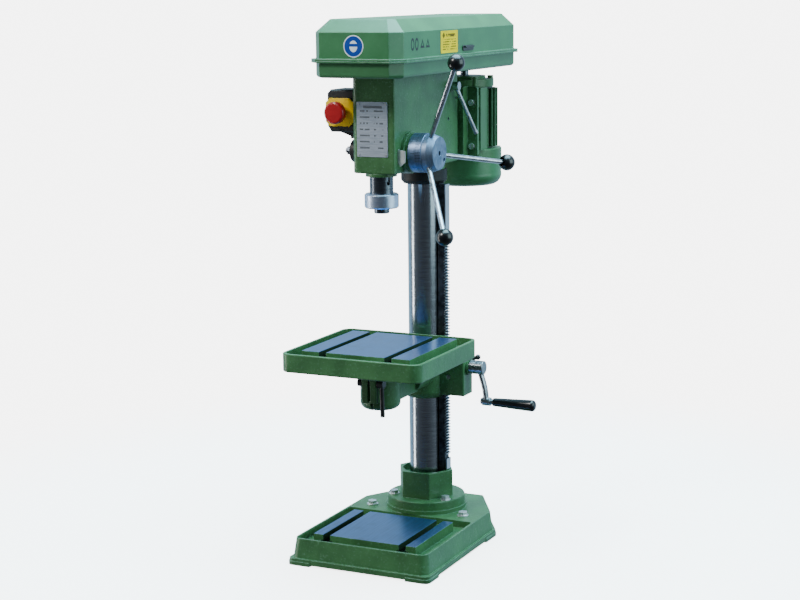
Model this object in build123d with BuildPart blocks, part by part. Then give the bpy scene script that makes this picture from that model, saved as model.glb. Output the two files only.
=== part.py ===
"""Pillar drill press with a round column, rack-lifted table, belt head and three-arm feed."""
from build123d import *
import math
import os

os.makedirs("parts", exist_ok=True)

# ---------------------------------------------------------------- driving sizes, millimetres
# Origin on the column axis at floor level, +Z up, -Y to the operator, +X to the feed levers.

# column and lifting rack
COLUMN_RADIUS = 35.0
COLUMN_WALL = 5.0
COLUMN_TOP = 905.0
MODULE = 2.0
PITCH = math.pi * MODULE
RACK_TIP = 54.0
RACK_ROOT = 49.6
RACK_HALF_WIDTH = 10.0
RACK_BOTTOM = 140.0
RACK_TOP = 754.0
RACK_FIRST_TOOTH = 168.0
RACK_LAST_TOOTH = 640.0

# base casting
BASE_HALF_WIDTH = 148.2
BASE_FRONT = -327.4
BASE_TOP = 54.4
BASE_FLARE = 9.8
BASE_CUT_START = 4.0
BASE_REAR = 111.0
BASE_REAR_HALF_WIDTH = 86.0
BASE_TROUGH_FLOOR = 40.0
BASE_BLOCK_TOP = 60.6
BASE_BLOCK_HALF_WIDTH = 115.4
BASE_SLOT_X = 85.6
BASE_BOLT_X = 107.0
BASE_BOLT_Y = -48.0
PAD_TOP = 63.0

# column flange
FLANGE_RADIUS = 83.0
FLANGE_TOP = 81.0
COLLAR_TOP = 138.0
COLLAR_CORNER = 62.3
FLANGE_BOLT_CIRCLE = 70.0
FLANGE_BOLT_ANGLES = (90, 210, 330)

# head
HEAD_HALF_WIDTH = 43.7
HEAD_LEFT = -51.0
HEAD_FRONT = -230.9
HEAD_REAR = 79.9
HEAD_BOTTOM = 796.0
HEAD_TOP = 989.0
SPINDLE_Y = -202.0
QUILL_RADIUS = 23.8
QUILL_BOTTOM = 730.0
QUILL_TOP = 955.0
FEED_Y = -164.0
FEED_Z = 835.0
DIAL_LEFT = 57.7
DIAL_RIGHT = 86.7
HUB_FACE = 111.0
PINION_TEETH = 14
LEVER_Y = 46.0
LEVER_Z = 956.0

# feed levers: where a knob centre stands, from the feed axis
ARM_REACH = 194.0
ARM_KNOB_X = 177.0
ARM_ROOT_REACH = 26.0
ARM_ROOT_X = 93.0
ARM_FIRST_ANGLE = -20.0

# belt guard
GUARD_SEAM = 1022.0
GUARD_FRONT = -316.7
GUARD_REAR = 291.7
GUARD_HALF_WIDTH = 95.3
GUARD_LIP = 8.0
GUARD_SHOULDER = 1077.0
GUARD_TOP = 1102.0
GUARD_BEVEL = 25.0
GUARD_SHEET = 2.5
HINGE_X = -108.5

# belt drive
MOTOR_Y = 215.0
IDLER_Y = 8.0
STEP_RADII = (68.0, 55.0, 42.0, 29.0)
STEP_HEIGHT = 15.0
PULLEY_BOTTOM = 998.0
BELT_DEPTH = 8.0

# motor
MOTOR_CORE = 62.0
MOTOR_FIN = 73.0
MOTOR_FIN_COUNT = 32
PLATE_FRONT = 116.0
PLATE_BACK = 123.0

# table group
TABLE_AXIS_Y = -218.0
TABLE_HALF_WIDTH = 153.2
TABLE_FRONT = -363.1
TABLE_REAR = -70.5
TABLE_RIM_TOP = 445.6
TABLE_RIM_BOTTOM = 408.0
TABLE_FLOOR = 428.0
TABLE_TOP = 448.0
TABLE_BLOCK_HALF_WIDTH = 119.5
TABLE_SLOT_X = 72.4
TILT_Z = 362.0
TILT_RADIUS = 40.0
WORM_Z = 368.0
GEAR_X = 64.0
GEAR_Z = 347.0
GEAR_TEETH = 12
CRANK_THROW = 72.0

# T-slots, shared by table and base
SLOT_THROAT = 16.0
SLOT_HEAD = 27.0
SLOT_HEAD_HEIGHT = 9.0

FIT = 0.05
GAP = 0.3
BOTTOM = (Align.CENTER, Align.CENTER, Align.MIN)


# ---------------------------------------------------------------- shared shapes
def cylinder_z(x, y, z0, z1, radius, mode=Mode.ADD):
    """Upright cylinder from z0 to z1."""
    with Locations((x, y, z0)):
        Cylinder(radius, z1 - z0, align=BOTTOM, mode=mode)


def cylinder_x(x0, x1, y, z, radius, mode=Mode.ADD):
    """Cylinder along X from x0 to x1."""
    with Locations((x0, y, z)):
        Cylinder(radius, x1 - x0, rotation=(0, 90, 0), align=BOTTOM, mode=mode)


def cylinder_y(y0, y1, x, z, radius, mode=Mode.ADD):
    """Cylinder along Y from y0 to y1."""
    with Locations((x, y0, z)):
        Cylinder(radius, y1 - y0, rotation=(-90, 0, 0), align=BOTTOM, mode=mode)


def block(x0, x1, y0, y1, z0, z1, mode=Mode.ADD):
    """Box between two corners."""
    with Locations(((x0 + x1) / 2, (y0 + y1) / 2, z0)):
        Box(x1 - x0, y1 - y0, z1 - z0, align=BOTTOM, mode=mode)


def mirrored_points(points):
    """Right-hand outline points, followed by their mirror images across X = 0."""
    return points + [(-x, y) for x, y in reversed(points)]


def gear_points(teeth, tip, root, tip_share, root_share, first_angle):
    """Corners of a straight-sided gear outline."""
    points = []
    step = 2 * math.pi / teeth
    for tooth in range(teeth):
        middle = math.radians(first_angle) + tooth * step
        for radius, share in ((root, -root_share), (tip, -tip_share), (tip, tip_share), (root, root_share)):
            angle = middle + share * step / 2
            points.append((radius * math.cos(angle), radius * math.sin(angle)))
    return points


def rack_points(back, root, tip, bottom, top, first, last, phase):
    """Outline of a toothed bar: distance out from the column or quill against height."""
    points = [(back, bottom), (root, bottom)]
    tooth = first + (phase - first) % PITCH
    while tooth < last:
        for height, reach in ((-1.9, root), (-0.8, tip), (0.8, tip), (1.9, root)):
            points.append((reach, tooth + height))
        tooth += PITCH
    points += [(root, top), (back, top)]
    return points


def hex_bolt(x, y, z, across_flats, head_height, shank_radius, shank_length, washer=0.0):
    """Hexagon bolt standing on z with its shank downwards, on a washer when one is asked for."""
    if washer:
        cylinder_z(x, y, z, z + washer, across_flats * 0.72)
    with BuildSketch(Plane.XY.offset(z + washer)) as head:
        with Locations((x, y)):
            RegularPolygon(across_flats / 2, 6, major_radius=False)
    extrude(head.sketch, amount=head_height)
    cylinder_z(x, y, z - shank_length, z + washer, shank_radius)


def t_slot(x, y0, y1, top, depth):
    """Cuts one T-slot that runs front to back."""
    block(x - SLOT_THROAT / 2, x + SLOT_THROAT / 2, y0, y1, top - depth, top + 1, Mode.SUBTRACT)
    block(x - SLOT_HEAD / 2, x + SLOT_HEAD / 2, y0, y1, top - depth,
          top - depth + SLOT_HEAD_HEIGHT, Mode.SUBTRACT)


# ---------------------------------------------------------------- base and column
def base_outline(grow):
    """Plan of the base, grown outwards by a distance."""
    return mirrored_points([
        (BASE_HALF_WIDTH + grow, BASE_FRONT - grow),
        (BASE_HALF_WIDTH + grow, BASE_CUT_START + grow * 0.6),
        (BASE_REAR_HALF_WIDTH + grow * 0.6, BASE_REAR + grow),
    ])


def make_base_casting():
    wall = 8.0
    ledge = 14.0
    foot_top = 8.0
    skirt_bottom = 3.0
    rim = 4.5
    plateau_front = -85.0
    block_front = -302.0
    block_rear = -118.0
    with BuildPart() as base:
        with BuildSketch(Plane.XY.offset(skirt_bottom)):
            Polygon(*base_outline(BASE_FLARE - 3.5), align=None)
        with BuildSketch(Plane.XY.offset(BASE_TOP)):
            Polygon(*base_outline(0), align=None)
        loft()
        slanted = base.edges().filter_by(lambda e: abs(e.tangent_at(0.5).Z) > 0.7)
        fillet(slanted.group_by(Axis.Y)[0], radius=17)
        fillet(base.edges().filter_by(lambda e: abs(e.tangent_at(0.5).Z) > 0.7).sort_by(Axis.Y)[-4:],
               radius=8)
        # moulded ledge round the foot: high between the feet, low over each foot
        with BuildSketch(Plane.XY.offset(skirt_bottom)) as skirt:
            Polygon(*base_outline(BASE_FLARE), align=None)
            fillet(skirt.vertices(), radius=12)
        extrude(amount=ledge - skirt_bottom)
        corners = ((BASE_HALF_WIDTH, BASE_FRONT), (BASE_HALF_WIDTH, BASE_CUT_START - 6),
                   (BASE_REAR_HALF_WIDTH - 8, BASE_REAR))
        for x, y in corners:
            for side in (-1, 1):
                with BuildSketch(Plane.XY) as foot:
                    Polygon(*base_outline(BASE_FLARE + 1.5), align=None)
                    fillet(foot.vertices(), radius=13)
                    with Locations((side * x, y)):
                        Circle(42, mode=Mode.INTERSECT)
                extrude(amount=foot_top)
        # round pad under the column flange
        cylinder_z(0, 0, BASE_TOP - 6, PAD_TOP, FLANGE_RADIUS + 4)
        # coolant tray with its working block
        tray_half_width = BASE_HALF_WIDTH - rim
        with BuildSketch(Plane.XY.offset(BASE_TROUGH_FLOOR)) as tray:
            with Locations((0, (BASE_FRONT + rim + plateau_front) / 2)):
                RectangleRounded(2 * tray_half_width, plateau_front - BASE_FRONT - rim, 6)
        extrude(amount=BASE_TOP - BASE_TROUGH_FLOOR + 1, mode=Mode.SUBTRACT)
        block(-BASE_BLOCK_HALF_WIDTH, BASE_BLOCK_HALF_WIDTH, block_front, block_rear,
              BASE_TROUGH_FLOOR - 1, BASE_BLOCK_TOP)
        for side in (-1, 1):
            t_slot(side * BASE_SLOT_X, block_front - 1, block_rear + 1, BASE_BLOCK_TOP, 20.6)
        # hollow underside, crossed by ribs
        under_tray = BASE_TROUGH_FLOOR - 10
        inner = BASE_HALF_WIDTH - wall
        cells_x = (-inner, -inner / 3, inner / 3, inner)
        cells_y = (BASE_FRONT + wall, -235, -150, plateau_front + 4)
        for x0, x1 in zip(cells_x[:-1], cells_x[1:]):
            for y0, y1 in zip(cells_y[:-1], cells_y[1:]):
                block(x0 + 3, x1 - 3, y0 + 3, y1 - 3, -1, under_tray, Mode.SUBTRACT)
            block(x0 + 3, x1 - 3, plateau_front + 12, -12, -1, BASE_TOP - 12, Mode.SUBTRACT)
        for x0, x1 in ((-80, -3), (3, 80)):
            block(x0, x1, -4, 46, -1, BASE_TOP - 12, Mode.SUBTRACT)
            block(x0, x1, 52, BASE_REAR - wall, -1, BASE_TOP - 12, Mode.SUBTRACT)
        # ground pad straight under the column
        cylinder_z(0, 0, 0, BASE_TOP - 6, 26)
        # holes for the holding-down bolts and the flange bolts
        for side in (-1, 1):
            cylinder_z(side * BASE_BOLT_X, BASE_BOLT_Y, 0, BASE_TOP + 1, 5 + FIT, Mode.SUBTRACT)
        for angle in FLANGE_BOLT_ANGLES:
            x = FLANGE_BOLT_CIRCLE * math.cos(math.radians(angle))
            y = FLANGE_BOLT_CIRCLE * math.sin(math.radians(angle))
            cylinder_z(x, y, 0, PAD_TOP + 1, 5 + FIT, Mode.SUBTRACT)
    base.part.label = "base_casting"
    export_step(base.part, "parts/base_casting.step")


def make_base_bolts():
    with BuildPart() as bolts:
        for side in (-1, 1):
            hex_bolt(side * BASE_BOLT_X, BASE_BOLT_Y, BASE_TOP, 17, 6.5, 5, 44, washer=2.5)
    bolts.part.label = "base_bolts"
    export_step(bolts.part, "parts/base_bolts.step")


def make_column_flange():
    recess_radius = 49.5
    recess_depth = 14.0
    with BuildPart() as flange:
        cylinder_z(0, 0, PAD_TOP, FLANGE_TOP, FLANGE_RADIUS)
        fillet(flange.edges().group_by(Axis.Z)[-1], radius=2.5)
        with BuildSketch(Plane.XY.offset(FLANGE_TOP - 1)):
            RegularPolygon(COLLAR_CORNER, 6)
        extrude(amount=COLLAR_TOP - FLANGE_TOP + 1)
        collar_edges = flange.edges().filter_by(Axis.Z)
        fillet(collar_edges.filter_by(lambda e: e.center().Z > FLANGE_TOP), radius=3)
        fillet(flange.edges().group_by(Axis.Z)[-1], radius=1.5)
        cylinder_z(0, 0, COLLAR_TOP - recess_depth, COLLAR_TOP + 1, recess_radius, Mode.SUBTRACT)
        cylinder_z(0, 0, PAD_TOP - 1, COLLAR_TOP, COLUMN_RADIUS + 0.02, Mode.SUBTRACT)
        for angle in FLANGE_BOLT_ANGLES:
            x = FLANGE_BOLT_CIRCLE * math.cos(math.radians(angle))
            y = FLANGE_BOLT_CIRCLE * math.sin(math.radians(angle))
            cylinder_z(x, y, PAD_TOP - 1, FLANGE_TOP + 1, 5 + FIT, Mode.SUBTRACT)
            # flat seat for the bolt head, cut into the foot of the collar
            cylinder_z(x, y, FLANGE_TOP, FLANGE_TOP + 12, 11.5, Mode.SUBTRACT)
    flange.part.label = "column_flange"
    export_step(flange.part, "parts/column_flange.step")


def make_flange_bolts():
    with BuildPart() as bolts:
        for angle in FLANGE_BOLT_ANGLES:
            x = FLANGE_BOLT_CIRCLE * math.cos(math.radians(angle))
            y = FLANGE_BOLT_CIRCLE * math.sin(math.radians(angle))
            hex_bolt(x, y, FLANGE_TOP, 16, 6.5, 5, 40, washer=1.5)
    bolts.part.label = "flange_bolts"
    export_step(bolts.part, "parts/flange_bolts.step")


def make_column_tube():
    with BuildPart() as column:
        cylinder_z(0, 0, PAD_TOP, COLUMN_TOP, COLUMN_RADIUS)
        cylinder_z(0, 0, PAD_TOP - 1, COLUMN_TOP + 1, COLUMN_RADIUS - COLUMN_WALL, Mode.SUBTRACT)
    column.part.label = "column_tube"
    export_step(column.part, "parts/column_tube.step")


def make_rack_ring():
    bottom = 756.0
    top = 785.0
    with BuildPart() as ring:
        with BuildSketch(Plane.XZ):
            Polygon((COLUMN_RADIUS + 0.02, bottom), (43, bottom), (48.5, bottom + 7), (48.5, top),
                    (COLUMN_RADIUS + 0.02, top), align=None)
        revolve(axis=Axis.Z)
        # groove that holds the top end of the rack
        cylinder_z(0, 0, bottom - 1, bottom + 4, 41.6, Mode.SUBTRACT)
    ring.part.label = "rack_ring"
    export_step(ring.part, "parts/rack_ring.step")


# ---------------------------------------------------------------- head
def make_head_casting():
    wall = 8.0
    boss_radius = 28.8
    lower_boss_radius = 31.5
    with BuildPart() as head:
        block(HEAD_LEFT, HEAD_HALF_WIDTH, HEAD_FRONT, HEAD_REAR, HEAD_BOTTOM, HEAD_TOP)
        corners = head.edges().filter_by(Axis.Z).sort_by(Axis.X)
        fillet(corners[:2], radius=12)
        fillet(head.edges().filter_by(Axis.Z).group_by(Axis.X)[-1], radius=4)
        fillet(head.edges().group_by(Axis.Z)[0], radius=3)
        block(HEAD_LEFT + wall, HEAD_HALF_WIDTH - wall, HEAD_FRONT + wall, HEAD_REAR - wall,
              HEAD_BOTTOM + wall, HEAD_TOP - wall, Mode.SUBTRACT)
        # bosses: quill, column, feed shaft, slide rods, tension shaft
        cylinder_z(0, SPINDLE_Y, 789.6, HEAD_BOTTOM, lower_boss_radius)
        cylinder_z(0, SPINDLE_Y, HEAD_BOTTOM, HEAD_TOP, boss_radius)
        cylinder_z(0, 0, 785.5, COLUMN_TOP + wall, HEAD_HALF_WIDTH - 0.2)
        cylinder_x(HEAD_LEFT - 2.5, 0, FEED_Y, FEED_Z, 24)
        cylinder_x(0, 51, FEED_Y, FEED_Z, 42)
        cylinder_x(50, DIAL_LEFT - 0.5, FEED_Y, FEED_Z, 38)
        for side in (-1, 1):
            cylinder_y(-30, HEAD_REAR, side * 24, 935, 13)
        cylinder_x(-HEAD_HALF_WIDTH, HEAD_HALF_WIDTH + 2, LEVER_Y, LEVER_Z, 12)
        # bores
        cylinder_z(0, SPINDLE_Y, 780, HEAD_TOP + 1, QUILL_RADIUS + FIT, Mode.SUBTRACT)
        cylinder_z(0, 0, 780, COLUMN_TOP + 0.02, COLUMN_RADIUS + 0.02, Mode.SUBTRACT)
        cylinder_x(-60, 60, FEED_Y, FEED_Z, 10 + FIT, Mode.SUBTRACT)
        cylinder_x(-15, 15, FEED_Y, FEED_Z, 17.5, Mode.SUBTRACT)
        for side in (-1, 1):
            cylinder_y(-40, HEAD_REAR + 1, side * 24, 935, 9 + FIT, Mode.SUBTRACT)
        cylinder_x(-20, HEAD_HALF_WIDTH + 3, LEVER_Y, LEVER_Z, 6 + FIT, Mode.SUBTRACT)
        # seats for the set screws on the right side
        for y, z in ((31, 887.5), (70, 929)):
            cylinder_x(HEAD_HALF_WIDTH - 5, HEAD_HALF_WIDTH + 1, y, z, 4.2, Mode.SUBTRACT)
    head.part.label = "head_casting"
    export_step(head.part, "parts/head_casting.step")


def make_set_screws():
    with BuildPart() as screws:
        for y, z in ((31, 887.5), (70, 929)):
            cylinder_x(HEAD_HALF_WIDTH - 5, HEAD_HALF_WIDTH - 1.5, y, z, 4.1)
            cylinder_x(HEAD_HALF_WIDTH - 3, HEAD_HALF_WIDTH, y, z, 2, Mode.SUBTRACT)
    screws.part.label = "head_set_screws"
    export_step(screws.part, "parts/head_set_screws.step")


def make_rating_plate():
    with BuildPart() as plate:
        block(-38.5, 29.5, HEAD_FRONT - 1.2, HEAD_FRONT, 830, 939)
        fillet(plate.edges().filter_by(Axis.Y), radius=2)
    plate.part.label = "rating_plate"
    export_step(plate.part, "parts/rating_plate.step")


def make_plate_rivets():
    with BuildPart() as rivets:
        for x in (-34.5, 25.5):
            for z in (834, 935):
                cylinder_y(HEAD_FRONT - 2.2, HEAD_FRONT - 1.2, x, z, 2.2)
    rivets.part.label = "plate_rivets"
    export_step(rivets.part, "parts/plate_rivets.step")


def make_dial_pointer():
    """Bent tag in front of the depth dial: a foot on the head and a five-sided face."""
    side = HEAD_HALF_WIDTH
    with BuildPart() as pointer:
        block(side, side + 1.6, -217, -208, 822, 842)
        with BuildSketch(Plane.XZ.offset(215.4)):
            Polygon((side, 845), (side + 16.3, 842), (side + 16.3, 820), (side + 6, 811), (side, 817),
                    align=None)
        extrude(amount=1.6)
    pointer.part.label = "dial_pointer"
    export_step(pointer.part, "parts/dial_pointer.step")


# ---------------------------------------------------------------- belt guard
def guard_outline(shrink):
    """Plan of the belt guard wall, shrunk inwards by a distance."""
    half = GUARD_HALF_WIDTH - shrink
    front = GUARD_FRONT + shrink
    rear = GUARD_REAR - shrink
    cut = 0.4 * shrink
    return mirrored_points([
        (half - 20 + cut, front),
        (half, front + 25 - cut),
        (half, 267 - cut),
        (half - 20 + cut, rear),
    ])


def make_pulley_pan():
    with BuildPart() as pan:
        with BuildSketch(Plane.XY.offset(HEAD_TOP)):
            Polygon(*guard_outline(0), align=None)
        extrude(amount=GUARD_SEAM - HEAD_TOP)
        fillet(pan.edges().group_by(Axis.Z)[0], radius=7)
        with BuildSketch(Plane.XY.offset(GUARD_SEAM - 3.4)):
            Polygon(*guard_outline(-GUARD_LIP), align=None)
        extrude(amount=3.4)
        with BuildSketch(Plane.XY.offset(HEAD_TOP + 4)):
            Polygon(*guard_outline(3), align=None)
        extrude(amount=GUARD_SEAM, mode=Mode.SUBTRACT)
        # openings for the spindle sleeve and for the motor shaft along its slide
        cylinder_z(0, SPINDLE_Y, HEAD_TOP - 1, HEAD_TOP + 5, 20, Mode.SUBTRACT)
        with BuildSketch(Plane.XY.offset(HEAD_TOP - 1)):
            with Locations((0, MOTOR_Y - 6)):
                SlotOverall(48, 24, rotation=90)
        extrude(amount=6, mode=Mode.SUBTRACT)
    pan.part.label = "pulley_pan"
    export_step(pan.part, "parts/pulley_pan.step")


def make_belt_cover():
    with BuildPart() as cover:
        with BuildSketch(Plane.XY.offset(GUARD_SEAM + GAP)):
            Polygon(*guard_outline(-GUARD_LIP), align=None)
        extrude(amount=3.7)
        with BuildSketch(Plane.XY.offset(GUARD_SEAM + GAP)):
            Polygon(*guard_outline(0), align=None)
        extrude(amount=GUARD_SHOULDER - GUARD_SEAM - GAP)
        with BuildSketch(Plane.XY.offset(GUARD_SHOULDER)):
            Polygon(*guard_outline(0), align=None)
        with BuildSketch(Plane.XY.offset(GUARD_TOP)):
            Polygon(*guard_outline(GUARD_BEVEL), align=None)
        loft()
        fillet(cover.edges().group_by(Axis.Z)[-1], radius=5)
        # hollow inside
        with BuildSketch(Plane.XY.offset(GUARD_SEAM)):
            Polygon(*guard_outline(GUARD_SHEET), align=None)
        extrude(amount=GUARD_SHOULDER - GUARD_SEAM, mode=Mode.SUBTRACT)
        with BuildSketch(Plane.XY.offset(GUARD_SHOULDER)):
            Polygon(*guard_outline(GUARD_SHEET), align=None)
        with BuildSketch(Plane.XY.offset(GUARD_TOP - 3)):
            Polygon(*guard_outline(GUARD_BEVEL), align=None)
        loft(mode=Mode.SUBTRACT)
    cover.part.label = "belt_cover"
    export_step(cover.part, "parts/belt_cover.step")


def hinge_places():
    """Front and rear hinge, each as the Y where its middle knuckle stands."""
    return (-190.0, 170.0)


def make_cover_hinge_pins():
    """Outer knuckles, pin and lower leaf of both hinges, fixed to the pan."""
    knuckle = 4.2
    seam_z = GUARD_SEAM
    with BuildPart() as hinges:
        for y in hinge_places():
            for y0 in (y - 27, y + 9):
                cylinder_y(y0, y0 + 18, HINGE_X, seam_z, knuckle)
            cylinder_y(y - 27, y + 27, HINGE_X, seam_z, 2)
            for y0 in (y - 27, y + 9):
                block(HINGE_X, -GUARD_HALF_WIDTH - 1, y0, y0 + 18, GUARD_SEAM - 5.6, GUARD_SEAM - 3.5)
    hinges.part.label = "cover_hinge_pins"
    export_step(hinges.part, "parts/cover_hinge_pins.step")


def make_cover_hinge_leaves():
    """Middle knuckle and upper leaf of both hinges, fixed to the cover."""
    knuckle = 4.2
    with BuildPart() as leaves:
        for y in hinge_places():
            cylinder_y(y - 8.7, y + 8.7, HINGE_X, GUARD_SEAM, knuckle)
            block(HINGE_X - 1, -GUARD_HALF_WIDTH - 0.5, y - 8.7, y + 8.7, GUARD_SEAM + 4.05, GUARD_SEAM + 6)
            block(HINGE_X - 1.6, HINGE_X + 1.6, y - 8.7, y + 8.7, GUARD_SEAM + 3, GUARD_SEAM + 5)
            cylinder_y(y - 9, y + 9, HINGE_X, GUARD_SEAM, 2 + FIT, Mode.SUBTRACT)
    leaves.part.label = "cover_hinge_leaves"
    export_step(leaves.part, "parts/cover_hinge_leaves.step")


# ---------------------------------------------------------------- belt drive
def stepped_pulley(y, radii, bore):
    """Cone pulley with one grooved step for each radius, from the bottom up."""
    groove_inset = 1.5
    for number, radius in enumerate(radii):
        z0 = PULLEY_BOTTOM + number * STEP_HEIGHT
        cylinder_z(0, y, z0, z0 + STEP_HEIGHT, radius)
        with BuildSketch(Plane.YZ) as groove:
            with Locations((y, 0)):
                Polygon((radius + 1, z0 + groove_inset), (radius + 1, z0 + STEP_HEIGHT - groove_inset),
                        (radius - BELT_DEPTH - 1, z0 + STEP_HEIGHT - 4),
                        (radius - BELT_DEPTH - 1, z0 + 4), align=None)
        revolve(groove.sketch, axis=Axis((0, y, 0), (0, 0, 1)), mode=Mode.SUBTRACT)
    cylinder_z(0, y, PULLEY_BOTTOM - 1, PULLEY_BOTTOM + len(radii) * STEP_HEIGHT + 1, bore, Mode.SUBTRACT)


def belt_loop(y0, radius0, y1, radius1, step):
    """V-belt round two pulley steps at one level."""
    z0 = PULLEY_BOTTOM + step * STEP_HEIGHT
    middle = z0 + STEP_HEIGHT / 2
    for half_height, inset in ((5.0, 0.0), (3.9, 2.6), (2.9, 5.2)):
        loops = []
        for extra in (inset, inset + 2.6):
            with BuildSketch(Plane.XY.offset(middle - half_height)) as loop:
                with Locations((0, y0)):
                    Circle(radius0 - extra)
                with Locations((0, y1)):
                    Circle(radius1 - extra)
                make_hull()
            loops.append(loop.sketch)
        extrude(loops[0] - loops[1], amount=2 * half_height)


def make_motor_pulley():
    with BuildPart() as pulley:
        stepped_pulley(MOTOR_Y, tuple(reversed(STEP_RADII)), 9.02)
    pulley.part.label = "motor_pulley"
    export_step(pulley.part, "parts/motor_pulley.step")


def make_idler_pulley():
    with BuildPart() as pulley:
        stepped_pulley(IDLER_Y, STEP_RADII, 8 + FIT)
    pulley.part.label = "idler_pulley"
    export_step(pulley.part, "parts/idler_pulley.step")


def make_spindle_pulley():
    """Spindle pulley with the drive sleeve that turns in the top of the head."""
    with BuildPart() as pulley:
        stepped_pulley(SPINDLE_Y, tuple(reversed(STEP_RADII)), 14)
        cylinder_z(0, SPINDLE_Y, 966, PULLEY_BOTTOM + 4 * STEP_HEIGHT, 14)
        cylinder_z(0, SPINDLE_Y, 960, PULLEY_BOTTOM + 4 * STEP_HEIGHT + 1, 10.3, Mode.SUBTRACT)
    pulley.part.label = "spindle_pulley"
    export_step(pulley.part, "parts/spindle_pulley.step")


def make_pulley_bearing():
    with BuildPart() as bearing:
        cylinder_z(0, SPINDLE_Y, 968, 984, QUILL_RADIUS + FIT)
        cylinder_z(0, SPINDLE_Y, 967, 985, 14 + FIT, Mode.SUBTRACT)
    bearing.part.label = "pulley_bearing"
    export_step(bearing.part, "parts/pulley_bearing.step")


def make_idler_post():
    with BuildPart() as post:
        cylinder_z(0, IDLER_Y, HEAD_TOP + 4, PULLEY_BOTTOM - 0.5, 20)
        cylinder_z(0, IDLER_Y, HEAD_TOP + 4, PULLEY_BOTTOM + 4 * STEP_HEIGHT + 4, 8)
        cylinder_z(0, IDLER_Y, PULLEY_BOTTOM + 4 * STEP_HEIGHT + 0.5,
                   PULLEY_BOTTOM + 4 * STEP_HEIGHT + 4, 12)
    post.part.label = "idler_post"
    export_step(post.part, "parts/idler_post.step")


def make_belts():
    with BuildPart() as rear:
        belt_loop(MOTOR_Y, STEP_RADII[3], IDLER_Y, STEP_RADII[0], 0)
    rear.part.label = "rear_belt"
    export_step(rear.part, "parts/rear_belt.step")
    with BuildPart() as front:
        belt_loop(IDLER_Y, STEP_RADII[3], SPINDLE_Y, STEP_RADII[0], 3)
    front.part.label = "front_belt"
    export_step(front.part, "parts/front_belt.step")


# ---------------------------------------------------------------- motor
def make_motor_plate():
    with BuildPart() as plate:
        block(-73, 73, PLATE_FRONT, PLATE_BACK, 803, 951)
        fillet(plate.edges().filter_by(Axis.Y), radius=5)
        for side in (-1, 1):
            block(side * 42.5 - 7.5, side * 42.5 + 7.5, 93, PLATE_FRONT, 803, 951)
        block(-36, 36, 100, PLATE_FRONT, 915, 951)
        for side in (-1, 1):
            cylinder_y(99, PLATE_BACK + 1, side * 24, 935, 9.02, Mode.SUBTRACT)
            for z in (824, 917):
                cylinder_y(PLATE_FRONT - 1, PLATE_BACK + 1, side * 60, z, 4 + FIT, Mode.SUBTRACT)
    plate.part.label = "motor_plate"
    export_step(plate.part, "parts/motor_plate.step")


def make_slide_rods():
    with BuildPart() as rods:
        for side in (-1, 1):
            cylinder_y(-22, PLATE_BACK, side * 24, 935, 9)
    rods.part.label = "slide_rods"
    export_step(rods.part, "parts/slide_rods.step")


def make_motor_bolts():
    with BuildPart() as bolts:
        for side in (-1, 1):
            for z in (824, 917):
                cylinder_y(PLATE_FRONT - 6, PLATE_FRONT, side * 60, z, 6.5)
                cylinder_y(PLATE_FRONT - 6, PLATE_BACK + 14, side * 60, z, 4)
                cylinder_y(PLATE_FRONT - 7, PLATE_FRONT - 3, side * 60, z, 3, Mode.SUBTRACT)
    bolts.part.label = "motor_bolts"
    export_step(bolts.part, "parts/motor_bolts.step")


def make_motor_housing():
    fin_thickness = 2.6
    bottom = 812.0
    top = 946.0
    with BuildPart() as housing:
        cylinder_z(0, MOTOR_Y, bottom, top, MOTOR_CORE)
        for number in range(MOTOR_FIN_COUNT):
            angle = number * 360 / MOTOR_FIN_COUNT
            if 225 < angle < 315 or 165 < angle < 195:
                continue
            with Locations(Location((0, MOTOR_Y, bottom + 4), (0, 0, angle))):
                with Locations(((MOTOR_CORE + MOTOR_FIN) / 2 - 1, 0, 0)):
                    Box(MOTOR_FIN - MOTOR_CORE + 2, fin_thickness, top - bottom - 8, align=BOTTOM)
        # cast feet that meet the motor plate
        for side in (-1, 1):
            block(side * 56 - 10, side * 56 + 10, 150, 187, bottom, top)
            block(side * 54 - 9, side * 60 + 3, PLATE_BACK, 151, bottom, 832)
            block(side * 54 - 9, side * 60 + 3, PLATE_BACK, 151, 905, 930)
            for z in (824, 917):
                cylinder_y(PLATE_BACK - 1, PLATE_BACK + 14.5, side * 60, z, 4 + FIT, Mode.SUBTRACT)
        cylinder_z(0, MOTOR_Y, bottom - 1, top + 1, MOTOR_CORE - 5, Mode.SUBTRACT)
    housing.part.label = "motor_housing"
    export_step(housing.part, "parts/motor_housing.step")


def shield_lugs(radius, z0, z1):
    """Four screw lugs on the rim of a motor end shield."""
    with Locations((0, MOTOR_Y, z0)):
        with PolarLocations(radius, 4, start_angle=45):
            Cylinder(6.5, z1 - z0, align=BOTTOM)


def make_motor_top_shield():
    with BuildPart() as shield:
        cylinder_z(0, MOTOR_Y, 946, 962, 64)
        cylinder_z(0, MOTOR_Y, 962, 969, 46)
        shield_lugs(61, 946, 968)
        cylinder_z(0, MOTOR_Y, 945, 970, 9.5, Mode.SUBTRACT)
        cylinder_z(0, MOTOR_Y, 945, 956, 50, Mode.SUBTRACT)
    shield.part.label = "motor_top_shield"
    export_step(shield.part, "parts/motor_top_shield.step")


def make_motor_lower_shield():
    with BuildPart() as shield:
        cylinder_z(0, MOTOR_Y, 791, 812, 81)
        fillet(shield.edges().group_by(Axis.Z)[-1], radius=2)
        shield_lugs(78, 791, 812)
        cylinder_z(0, MOTOR_Y, 790, 813, 9.5, Mode.SUBTRACT)
        cylinder_z(0, MOTOR_Y, 802, 813, 55, Mode.SUBTRACT)
    shield.part.label = "motor_lower_shield"
    export_step(shield.part, "parts/motor_lower_shield.step")


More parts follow.
